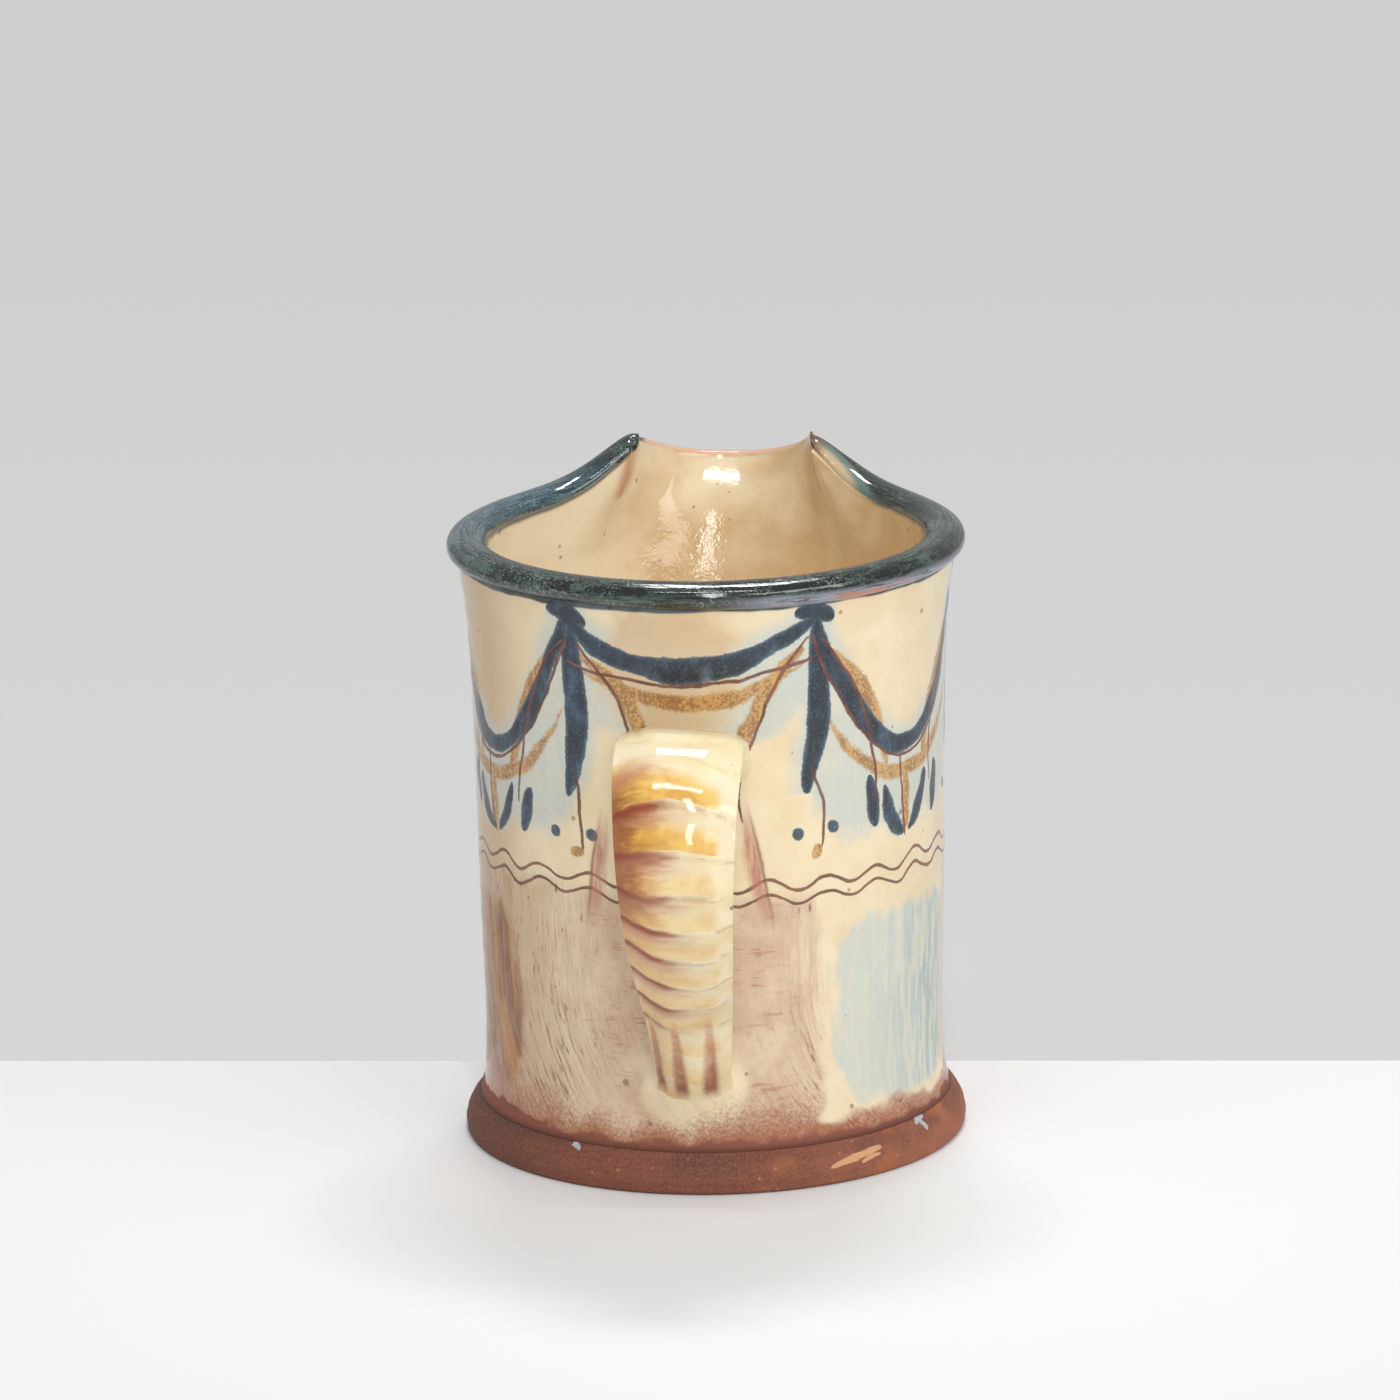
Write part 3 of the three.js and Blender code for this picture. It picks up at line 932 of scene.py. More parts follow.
# Slip, painting and clear glaze on the body

slipLook = {
    "cream": (242, 225, 190),
    "warmCream": (236, 214, 174),
    "tan": (208, 176, 136),
    "paleBlue": (198, 207, 202),
    "blueSwipe": (204, 210, 200),
    "blueSwipeDeep": (168, 186, 188),
    "ochreSwipe": (194, 128, 48),
    "ochreSwipeDark": (128, 72, 24),
    "cobalt": (36, 56, 78),
    "cobaltDark": (22, 33, 48),
    "cobaltThin": (88, 116, 132),
    "ochre": (210, 162, 96),
    "ochreDark": (158, 112, 62),
    "brownLine": (100, 52, 42),
    "brownLineThin": (136, 84, 66),
    "pink": (188, 124, 104),
    "thinSlip": (226, 203, 174),
    "thinSlipDeep": (214, 186, 156),
    "rosy": (204, 164, 142),
    "dusk": (186, 142, 98),
    "brushBrown": (142, 92, 64),
    "dash": (126, 72, 52),
    "redClay": (164, 96, 66),
    "bareClay": (138, 80, 60),
    "inside": (250, 235, 202),
    "insideShade": (220, 186, 136),
    "speck": (112, 72, 48),
    "seam": (82, 46, 38),
    "emberEdge": (206, 150, 122),
    "innerRun": (74, 82, 82),
    "outerRun": (30, 42, 48),
    "outerRunPale": (70, 88, 98),
    "lipEdge": (222, 166, 134),
    "burntPeak": (120, 66, 54),
    "peakRose": (206, 144, 116),
    "peakBrown": (136, 92, 66),
    "peakTan": (204, 166, 120),
    "peakInk": (30, 40, 52),
    "glaze": 0.06,
    "bareRoughness": 0.7,
    "relief": 0.6,
    # gap, size and share of the specks
    "specks": (3.6, 0.42, 0.26),
    "fineSpecks": (2.7, 0.3, 0.4),
    "dashes": (0.8, 0.22, 0.4),
}

paintSizes = {
    "top": 86.0,
    "sag": 22.0,
    "handleSag": -14.5,
    "spoutSag": 4.0,
    "cobaltHalf": 1.75,
    "ochreDrop": 4.4,
    "lineHalf": 0.24,
    "borderHeight": 46.5,
    "swipeMiddle": (0.5, 25.0),
    "swipeHalf": (14.5, 14.5),
    "ochreSwipe": (5.0, 10.5),
    "bays": 6,  # an even number
    "handWander": 4.2,
    "dotRadius": 0.95,
    "waveHeight": 0.75,
    "wavesRound": 24.0,
    "waveGap": 2.1,
    "washHalf": 6.0,
    "tanMiddle": (-2.5, 79.0),
    "tanHalf": (11.5, 12.0),
    "collarHalf": (8.6, 7.6),
    "outOfSight": 200.0,  # where a bay's strokes go if it has none
}

halfBay = math.pi * wall["wallRadius"] / paintSizes["bays"]

# kind, start in the cell, direction, length, bend, half width, how quickly the ends thin out
sprayStrokes = (
    ("blue", (0.2, 86.0), -92, 27.0, 1.3, 1.9, 0.45),
    ("blue", (-2.9, 87.4), -14, 6.2, 0.5, 1.6, 0.5),
    ("ochre", (-1.6, 81.5), -117, 25.0, -2.4, 1.25, 0.4),
    ("ochre", (2.0, 81.5), -61, 23.0, 2.6, 1.25, 0.4),
    ("line", (-0.8, 83.0), -110, 29.0, -3.0, 0.25, 0.15),
    ("line", (1.4, 83.0), -71, 28.0, 3.2, 0.25, 0.15),
    ("line", (0.2, 63.0), -86, 12.0, 0.9, 0.25, 0.15),
)
sideStrokes = (
    ("blue", (-8.2, 59.0), -104, 8.0, 0.3, 1.25, 0.5),
    ("blue", (9.4, 60.5), -76, 8.0, -0.3, 1.25, 0.5),
)
budStrokes = (
    ("blue", (-0.5, 50.0), 122, 10.0, 0.9, 1.2, 0.5),
    ("blue", (0.6, 50.0), 60, 10.0, -0.9, 1.2, 0.5),
    ("ochre", (0.0, 50.5), 91, 9.0, 0.3, 1.15, 0.5),
    ("line", (-0.2, 49.6), 96, 13.5, 0.5, 0.25, 0.15),
)
edgeFeel = {"blue": (0.6, 0.3), "ochre": (1.5, 0.5), "line": (0.2, 0.14)}


def buildWallCells():
    # equal bays round the wall, counted from the handle, and the place as a hand would draw on it
    group, spot, around, up = newGroup("wallCells", {"Spot": (0, 0, 0), "Around": 0.0, "Up": 0.0})
    wide = 2 * halfBay
    wobble = vectorSum("SUBTRACT", noise(spot, 15, 3.0, result="Color"), (0.5, 0.5, 0.5))
    shiftAround, shiftUp, _ = parted(vectorSum("SCALE", wobble, None, paintSizes["handWander"]))
    handAround = around + shiftAround
    count = maths("ROUND", around / wide)
    far = abs(count)
    return closeGroup(group, {
        "Bay": maths("WRAP", handAround, halfBay, -halfBay),
        "Joint": maths("WRAP", handAround, wide, 0.0) - halfBay,
        "Hand Up": up + shiftUp,
        "At Handle": maths("COMPARE", far, 0.0, 0.1),
        "At Spout": maths("COMPARE", far, paintSizes["bays"] / 2, 0.1),
        "Blue Bay": maths("COMPARE", maths("PINGPONG", count, 1.0), ramp(around, -1.0, 1.0), 0.5),
    })


def buildBrushedClay():
    # streaks left by a stiff brush: straight down the wall, then swept to one side near the foot
    group, spot, up = newGroup("brushedClay", {"Spot": (0, 0, 0), "Up": 0.0})
    fall = highest(31.0 - up, 0.0)
    drawn = turned(spot, fall * fall * -0.00055)
    return closeGroup(group, {
        "Fine": noise(stretched(drawn, 1, 1, 0.09), 0.5, 3.0, 0.7),
        "Coarse": noise(stretched(drawn, 1, 1, 0.07), 2.2, 3.0, 0.65),
        "Dash": specksAt(stretched(drawn, 1, 1, 0.35), slipLook["dashes"]),
    })


wallCells = buildWallCells()
brushedClay = buildBrushedClay()


def layStrokes(strokes, flat, grain, paints):
    # adds the strokes to the paints and gives the pale blue halo round the blue ones
    halo = None
    for kind, *shape in strokes:
        off, wide, _ = stroke(flat, *shape)
        paint, inset = placeGroup(paintEdge, off, wide, grain, *edgeFeel[kind])
        paints[kind].append(paint)
        if kind == "blue":
            paints["inset"].append(inset)
            near = ramp(inset, -3.0, 0.2, 0.0, 0.8)
            halo = near if halo is None else highest(halo, near)
    return halo


def paintedSlip():
    look, size = slipLook, paintSizes
    material, shader = newMaterial("paintedSlip")
    spot, around, up, turn = jugAxes()
    bay, joint, handUp, atHandle, atSpout, blueBay = placeGroup(wallCells, spot, around, up)
    fine, coarse, dash = placeGroup(brushedClay, spot, up)
    rightOf = ramp(turn, -0.1, 0.1)
    leftOf = 1.0 - rightOf
    inside = mark("inside")
    drop = mark("belowRim")
    lip = mark("spoutLip")
    outside = ramp(inside, 0.55, 0.35)
    grain = noise(spot, 0.45, 2.0, 0.6)
    mottle = noise(spot, 8.0, 3.0, 0.55)
    broad = noise(spot, 26.0, 2.0, 0.5)
    cloud = noise(spot, 5.0, 3.0, 0.6)

    # cream slip, tan above the handle and at the left: partly thin slip, partly painted shade
    cream = mixed(ramp(mottle, 0.35, 0.7), look["cream"], look["warmCream"])
    tanAcross = (around - size["tanMiddle"][0]) / size["tanHalf"][0]
    tanUp = (up - size["tanMiddle"][1]) / size["tanHalf"][1]
    oval = tanAcross * tanAcross + tanUp * tanUp
    aboveHandle = ramp(uneven(oval, cloud, 1.0), 1.15, 0.45)
    atLeft = ramp(around, -22.0, -38.0) * ramp(around, -95.0, -70.0)
    tanAndShadeShare = highest(aboveHandle * 0.68, atLeft * 0.85) * outside
    colour = mixed(tanAndShadeShare, cream, look["tan"])

    # garlands hang between the joints of the bays
    sag = maths("MULTIPLY_ADD", atHandle, size["handleSag"], size["sag"])
    sag = maths("MULTIPLY_ADD", atSpout, size["spoutSag"], sag)
    off, share = placeGroup(swagLine, bay, handUp, halfBay, size["top"], sag)
    paints = {"blue": [], "ochre": [], "line": [], "inset": []}
    thinner = 1.0 - share * share * 0.45
    swell = ramp(noise(spot, 10.0, 1.0, 0.5), 0.3, 0.7, 0.75, 1.2)
    half = thinner * swell * size["cobaltHalf"]
    paint, inset = placeGroup(paintEdge, off, half, grain, *edgeFeel["blue"])
    paints["blue"].append(paint)
    paints["inset"].append(inset)
    halo = ramp(inset, -3.4, 0.2, 0.0, 0.85)
    lower = off + size["ochreDrop"]
    ochreHalf = (0.85 - share * share) * 1.35
    paints["ochre"].append(placeGroup(paintEdge, lower, ochreHalf, grain, *edgeFeel["ochre"])[0])
    scratch, _ = placeGroup(swagLine, bay, handUp, halfBay - 1.5, size["top"] - 6.5, sag - 4.5)
    paints["line"].append(placeGroup(paintEdge, scratch, size["lineHalf"], grain, *edgeFeel["line"])[0])
    sprayHalo = layStrokes(sprayStrokes, joined(joint, handUp), grain, paints)
    bayOrNone = maths("MULTIPLY_ADD", atHandle, size["outOfSight"], bay)
    budHalo = layStrokes(budStrokes, joined(bayOrNone, handUp), grain, paints)
    jointOrNone = maths("MULTIPLY_ADD", atHandle, size["outOfSight"], joint)
    sideHalo = layStrokes(sideStrokes, joined(jointOrNone, handUp), grain, paints)
    halo = highest(halo, sprayHalo, sideHalo, budHalo)
    dots = joined(joint, handUp)
    for kind, x, y in (("blue", -2.9, 53.5), ("ochre", 0.2, 50.6), ("blue", 3.1, 53.8)):
        away = vectorSum("LENGTH", vectorSum("SUBTRACT", dots, (x, y, 0.0)), result="Value")
        paint, _ = placeGroup(paintEdge, away, size["dotRadius"], grain, 0.4, 0.3)
        paints[kind].append(paint)

    # a pair of combed waves divides the wall
    wave = maths("SINE", turn * size["wavesRound"]) * size["waveHeight"]
    border = handUp - size["borderHeight"] - wave
    for down in (0.0, size["waveGap"]):
        line = border + down
        paint, _ = placeGroup(paintEdge, line, size["lineHalf"], grain, *edgeFeel["line"])
        paints["line"].append(paint)

    painted = ramp(up, 47.8, 49.0) * outside
    blue = highest(*paints["blue"]) * painted
    ochre = highest(*paints["ochre"]) * painted
    lines = highest(*paints["line"]) * outside
    blueInset = highest(*paints["inset"])

    # pale blue wash under the garlands
    streak = noise(stretched(spot, 1, 1, 0.12), 1.1, 2.0, 0.6)
    washPaint, _ = placeGroup(paintEdge, off + 5.0, size["washHalf"], cloud, 5.0, 2.4)
    notTan = 1.0 - aboveHandle * 0.9
    washFoot = ramp(uneven(up, cloud, 10.0), 49.0, 53.5)
    wash = highest(halo, washPaint * 0.85) * painted * notTan * washFoot
    wash = wash * ramp(cloud, 0.25, 0.6, 0.7, 1.0) * ramp(streak, 0.3, 0.6, 0.8, 1.0)
    colour = mixed(wash, colour, look["paleBlue"])

    # thin slip below the waves, brushed so that the red clay shows through
    ragged = uneven(handUp - (size["borderHeight"] - 1.0), cloud, 2.0)
    low = ramp(ragged, 0.8, -2.4) * outside
    nearHandle = ramp(abs(uneven(around, cloud, 8.0)), 21.0, 11.0)
    away = 1.0 - nearHandle
    across = parted(spot)[0]
    leftward = ramp(uneven(across, cloud, 8.0), -17.0, -31.0)
    patch = coarse * away + cloud * nearHandle
    thin = mixed(ramp(patch, 0.38, 0.62), look["thinSlipDeep"], look["thinSlip"])
    thin = mixed(ramp(fine, 0.52, 0.68, 0.0, 0.6) * ramp(away, 0, 1, 0.25, 1.0), thin, look["cream"])
    thin = mixed(nearHandle * ramp(mottle, 0.4, 0.62) * 0.5, thin, look["rosy"])
    thin = mixed(leftward * ramp(coarse, 0.35, 0.6, 0.3, 0.75), thin, look["dusk"])
    scraped = (ramp(fine, 0.47, 0.34) * ramp(mottle, 0.35, 0.6, 0.25, 0.95)
               * ramp(uneven(up, cloud, 14.0), 40.0, 12.0, 0.35, 1.0))
    scraped = scraped * (1.0 - nearHandle * 0.75)
    thin = mixed(scraped, thin, look["brushBrown"])
    dashes = dash * ramp(mottle, 0.42, 0.56) * ramp(away, 0.0, 1.0, 0.12, 1.0)
    thin = mixed(dashes * 0.85, thin, look["dash"])
    ring = joined(maths("COSINE", turn) * 5.0, maths("SINE", turn) * 5.0, up)
    wheel = ramp(noise(ring, 0.5, 2.0, 0.6), 0.56, 0.68)
    wheel = wheel * nearHandle * ramp(mottle, 0.4, 0.6)
    thin = mixed(wheel * 0.45, thin, look["redClay"])
    colour = mixed(low, colour, thin)

    # broad swipes: pale blue on thick cream slip, ochre on thin slip
    middle, reach = size["swipeMiddle"], size["swipeHalf"]
    mirrored = bay * ramp(blueBay, 0.4, 0.6, -1.0, 1.0)
    ochreX, ochreHalf = size["ochreSwipe"]
    swipeX = mirrored - ramp(blueBay, 0.4, 0.6, ochreX, middle[0])
    swipeX = swipeX / ramp(blueBay, 0.4, 0.6, ochreHalf, reach[0])
    swipeY = (up - middle[1]) / reach[1]
    squareX, squareY = swipeX * swipeX, swipeY * swipeY  # edges that are fuller than an oval
    edge = squareX * ramp(squareX, 0, 1.2) + squareY * squareY
    edge = uneven(uneven(edge, cloud, 1.3), coarse, 1.0)
    notHandle = 1.0 - atHandle - atSpout
    blueHere = blueBay * notHandle * outside
    brownHere = (1.0 - blueBay) * notHandle * outside
    thickX = abs(mirrored + 1.0)
    softly = noise(spot, 7.0, 1.0, 0.4)
    thick = (ramp(uneven(thickX, cloud, 5.0), 17.5, 15.0) * ramp(uneven(up, softly, 6.0), 8.4, 9.8)
             * ramp(ragged, 2.0, 0.0) * blueHere)
    colour = mixed(thick * 0.92, colour, cream)
    drag = ramp(streak, 0.3, 0.62, 0.65, 0.97)
    swipe = ramp(edge, 1.3, 0.7) * blueHere * drag * ramp(fine, 0.3, 0.5, 0.7, 1.0)
    blueness = mixed(ramp(streak, 0.42, 0.6) * ramp(mirrored, -9.0, 9.0), look["blueSwipe"],
                     look["blueSwipeDeep"])
    colour = mixed(swipe, colour, blueness)
    swipe = ramp(edge, 1.4, 0.3) * brownHere * drag * ramp(ragged, -1.0, -4.0)
    colour = mixed(swipe * 0.95, colour,
                   mixed(ramp(coarse, 0.4, 0.6), look["ochreSwipeDark"], look["ochreSwipe"]))

    # ochre with dark grains, then cobalt with a thinner edge, then the scratched lines
    granules = ramp(grain + (coarse - 0.5) * 0.6, 0.4, 0.6)
    ochreColour = mixed(granules, look["ochreDark"], look["ochre"])
    colour = mixed(ochre * 0.92, colour, ochreColour)
    load = noise(stretched(spot, 1, 1, 0.5), 2.6, 3.0, 0.65)
    cobaltColour = mixed(ramp(load, 0.4, 0.62), look["cobaltDark"], look["cobalt"])
    edgeShare = ramp(blueInset, 0.75, 0.0, 0.0, 0.55) + ramp(load, 0.55, 0.75, 0.0, 0.45)
    edgeShare = edgeShare + ramp(grain, 0.56, 0.68, 0.0, 0.4)
    edgeShare = edgeShare * ramp(grain, 0.35, 0.6, 0.55, 1.0)
    cobaltColour = mixed(edgeShare, cobaltColour, look["cobaltThin"])
    colour = mixed(blue * 0.97, colour, cobaltColour)
    lineColour = mixed(ramp(cloud, 0.4, 0.65), look["brownLine"], look["brownLineThin"])
    colour = mixed(lines * 0.92, colour, lineColour)

    # clay wiped bare on both sides of the strap: start, direction, length, bend and outer side
    flat = joined(around, up)
    for start, direction, length, bend, side in (
        ((-13.0, 58.5), -98.4, 22.0, 0.5, -1), ((7.4, 60.5), -79.0, 24.0, -0.5, 1),
    ):
        off, wide, along = stroke(flat, start, direction, length, bend, 1.15, 0.6)
        fading = ramp(along, 0.0, 0.35) * ramp(along, 1.0, 0.55)
        paint, inset = placeGroup(paintEdge, uneven(off, cloud, 1.0), wide, grain, 0.8, 1.6)
        wiped = paint * outside * fading * ramp(fine, 0.35, 0.6, 0.5, 0.9)
        colour = mixed(wiped, colour, look["pink"])
        outerEdge = ramp(off * side, 0.0, 0.3)
        keen = ramp(inset, 0.5, 0.1) * ramp(inset, -0.35, 0.0) * outside * outerEdge * fading
        colour = mixed(keen * 0.7, colour, look["brownLineThin"])

    # a collar of slip where the strap's foot was smoothed down
    collarX = around / size["collarHalf"][0]
    collarZ = (up - (strapFoot["height"] - 0.6)) / size["collarHalf"][1]
    collar = collarX * collarX + collarZ * collarZ
    collar = ramp(uneven(collar, cloud, 0.9), 1.05, 0.55) * outside
    colour = mixed(collar * ramp(coarse, 0.3, 0.55, 0.5, 0.9), colour, cream)

    # the slip thins out to bare clay above the foot
    fadeTop = ramp(broad, 0.35, 0.65, 5.5, 10.0) + leftward * 5.0
    fade = (uneven(up, cloud, 4.0) - 6.4) / fadeTop
    fade = uneven(fade, grain, 1.1)
    fade = ramp(fade, 0.9, 0.0) * (1.0 - thick) * outside
    colour = mixed(fade * 0.9, colour, look["redClay"])
    bareTop = maths("MULTIPLY_ADD", leftward, -1.2, uneven(up, cloud, 3.4))
    bare = ramp(bareTop, 7.6, 7.0) * outside
    colour = mixed(bare, colour, look["bareClay"])

    # painted shade in the crease where the wall meets the clay foot
    seam = ramp(up, 7.2, 6.2) * outside
    colour = mixed(seam * 0.5, colour, look["seam"])

    # inside: the same slip with a few iron specks; painted shade darkens it to the right and lower
    # down, and it is painted lighter at the left
    specks = specksAt(spot, look["specks"])
    fineSpecks = specksAt(spot, look["fineSpecks"])
    specks = highest(specks, fineSpecks * inside * 0.85)
    # painted shade: darker on the right side and lower down
    deep = ramp(turn, 2.9, 1.9) * ramp(turn, -0.9, 1.2) * 0.6
    deep = deep + ramp(up, 90.0, 74.0, 0.45, 1.0)
    lit = ramp(turn, -0.2, -1.6) * ramp(turn, -3.0, -2.4) * 1.1
    deep = maths("ADD", deep - lit, ramp(mottle, 0.3, 0.75, -0.2, 0.4), clamp=True)
    insideColour = mixed(deep, look["inside"], look["insideShade"])
    colour = mixed(1.0 - outside, colour, insideColour)
    colour = mixed(specks * 0.6, colour, look["speck"])

    # the dark rim glaze runs on to the wall on both sides of the roll
    shut = ramp(lip, 0.6, 0.1)
    runs = noise(stretched(spot, 1, 1, 0.6), 5.0, 1.0, 0.4)
    innerEnd = uneven(drop, runs, 0.8) - ramp(turn, -1.2, -2.0, 0.0, 0.4)
    innerSide = ramp(inside, 0.6, 0.9) * shut
    outerRun = ramp(uneven(drop, runs, 0.9), 2.7, 2.3) * outside * shut
    rightPeak = ramp(uneven(turn, cloud, 0.1), 2.3, 2.5) * rightOf
    innerRun = ramp(innerEnd, 0.85, 0.15) * innerSide * (1.0 - rightPeak)
    ember = ramp(innerEnd, 1.0, 0.1) * innerSide * ramp(cloud, 0.35, 0.6) * leftOf
    colour = mixed(ember * 0.5, colour, look["emberEdge"])
    colour = mixed(innerRun * 0.85, colour, look["innerRun"])
    runColour = mixed(ramp(cloud, 0.4, 0.6), look["outerRun"], look["outerRunPale"])
    colour = mixed(outerRun * 0.95, colour, runColour)

    # the spout's thin edge breaks to pink, and each peak is burnt brown
    peakTurn = (abs(turn) - (math.pi - rollStart)) * 36.0
    falling = highest(drop, 0.0)
    fromPeak = maths("SQRT", peakTurn * peakTurn + falling * falling * 0.25)
    thinEdge = ramp(uneven(drop, cloud, 1.0), 0.7, 0.3) * ramp(lip, 0.5, 0.9)
    colour = mixed(thinEdge * 0.7, colour, look["lipEdge"])
    flat = joined(peakTurn, drop * -1.0)
    for side, start, direction, length, half, soft, seen, strength in (
        (leftOf, (-0.2, 0.6), -112, 8.0, 1.6, 3.2, "peakRose", 0.85),
        (rightOf, (0.2, 0.8), -106, 8.0, 0.6, 1.6, "peakBrown", 0.6),
        (rightOf, (1.6, -0.5), -98, 12.0, 1.6, 3.4, "peakTan", 0.55),
        (leftOf, (0.3, -0.2), 2, 2.6, 0.6, 0.6, "peakInk", 0.9),
    ):
        off, wide, _ = stroke(flat, start, direction, length, 0.3, half, 0.5)
        paint, _ = placeGroup(paintEdge, uneven(off, cloud, 1.2), wide, grain, 0.5, soft)
        smear = paint * side * ramp(inside, 0.2, 0.5) * strength
        colour = mixed(smear, colour, look[seen])
    burnt = ramp(uneven(fromPeak, cloud, 1.4), 1.6, 0.8) * rightOf
    colour = mixed(burnt * 0.85, colour, look["burntPeak"])
    feed(shader.inputs["Base Color"], colour)

    feed(shader.inputs["Roughness"], ramp(bare, 0.0, 1.0, look["glaze"], look["bareRoughness"]))
    calm = inside * ramp(up, 74.0, 82.0)
    height = mottle * ramp(calm, 0.0, 1.0, 0.5, 0.06) - lines
    height = height + blue * 0.25
    peel = noise(spot, 0.9, 2.0, 0.55)
    broken = inside * ramp(up, 89.0, 82.0, 0.0, 0.55)
    peelShare = broken + ramp(calm, 0.0, 1.0, 0.2, 0.07)
    height = height + peel * peelShare
    addRelief(shader, look["relief"], height)
    return material


# Rim glaze

rimLook = {
    "dark": (15, 21, 22),
    "green": (74, 94, 82),
    "silver": (150, 162, 154),
    "teal": (84, 122, 134),
    "tealDark": (40, 64, 78),
    "lavender": (156, 158, 174),
    "wash": (104, 126, 120),
    "thin": (204, 182, 144),
    "burnt": (118, 70, 54),
    "ember": (200, 108, 78),
    "glaze": 0.07,
    "dullGlaze": 0.12,
    "bending": 1.75,
    "relief": 0.8,
}


def rimGlaze():
    look = rimLook
    material, shader = newMaterial("rimGlaze")
    spot, around, up, turn = jugAxes()
    x, y, z = parted(spot)
    out = maths("SQRT", x * x + y * y)
    ring = joined(maths("COSINE", turn) * 7.0, maths("SINE", turn) * 7.0,
                  maths("MULTIPLY_ADD", z, 1.3, out * 1.6))
    drawn = vectorSum("MULTIPLY", ring, (0.55, 0.55, 1.0))
    streaks = noise(drawn, 0.5, 3.0, 0.7, 0.3)
    blotch = noise(ring, 1.8, 2.0, 0.5)
    grain = noise(spot, 0.42, 3.0, 0.7)
    cloud = noise(spot, 6.0, 2.0, 0.5)
    mottled = grain * 0.3 + streaks * 0.7
    patchy = ramp(cloud, 0.38, 0.56, 0.45, 1.0)
    mottling = ramp(mottled, 0.47, 0.57) * patchy
    colour = mixed(mottling, look["dark"], look["green"])
    leftBack = uneven(maths("MULTIPLY_ADD", y, 0.6, x * -1.0), cloud, 14.0)
    leftBack = ramp(leftBack, 14.0, 42.0) * ramp(uneven(y, cloud, 8.0), 30.0, 22.0, 0.25, 1.0)
    teal = mixed(ramp(mottled, 0.45, 0.57), look["tealDark"], look["teal"])
    colour = mixed(leftBack * 0.85, colour, teal)
    # pale flecks in the glaze, partly painted glints
    flecksAndGlints = ramp(grain, 0.53, 0.62) * ramp(blotch, 0.42, 0.58) * patchy
    colour = mixed(flecksAndGlints * 0.55, colour, look["silver"])

    # the glaze is thin and greyish where it hangs under the roll, right of the handle, and partly a
    # painted reflection of the table
    under = ramp(uneven(up, blotch, 1.4), 90.6, 89.5)
    rightFront = ramp(around, 2.0, 14.0) * ramp(around, 60.0, 45.0)
    patch = under * rightFront * ramp(streaks, 0.62, 0.5)
    colour = mixed(patch * 0.85, colour, look["lavender"])
    ember = under * ramp(blotch, 0.5, 0.56) * ramp(around, 18.0, 24.0) * ramp(around, 44.0, 36.0)
    colour = mixed(ember * 0.75, colour, look["ember"])

    # near the right peak only the outer side is dark: the inner side is a grey wash that thins to slip
    toPeak = (math.pi - rollStart - turn) * rimRadius
    inward = rimRadius + 0.5 - uneven(out, blotch, 0.8)
    inward = inward - ramp(toPeak, 4.0, 17.0, 0.0, 3.2)
    colour = mixed(ramp(inward, 0.0, 1.0), colour, look["wash"])
    colour = mixed(ramp(inward, 1.2, 2.6), colour, look["thin"])
    burnt = ramp(uneven(toPeak, cloud, 2.0), 3.6, 1.2) * ramp(grain, 0.35, 0.6, 1.0, 0.6)
    colour = mixed(burnt * ramp(turn, 1.0, 2.0) * 0.9, colour, look["burnt"])
    feed(shader.inputs["Base Color"], colour)
    feed(shader.inputs["Roughness"], ramp(streaks, 0.45, 0.65, look["glaze"], look["dullGlaze"]))
    shader.inputs["IOR"].default_value = look["bending"]
    smooth = ramp(y, 6.0, 20.0, 1.0, 0.06)
    ridges = noise(ring, 1.1, 1.0, 0.4)
    height = ridges + streaks * 0.25 + grain * 0.08
    addRelief(shader, look["relief"], height * smooth)
    return material


# Honey glaze on the strap

strapLook = {
    "cream": (246, 232, 196),
    "creamWarm": (238, 216, 168),
    "honey": (242, 196, 96),
    "honeyDeep": (190, 112, 58),
    "stripe": (146, 64, 38),
    "scorch": (146, 84, 44),
    "haze": (206, 152, 120),
    "groove": (142, 72, 50),
    "honeyWarm": (222, 164, 72),
    "speck": (112, 70, 46),
    "specks": (4.0, 0.3, 0.12),
    "glaze": 0.07,
    "relief": 0.2,
}


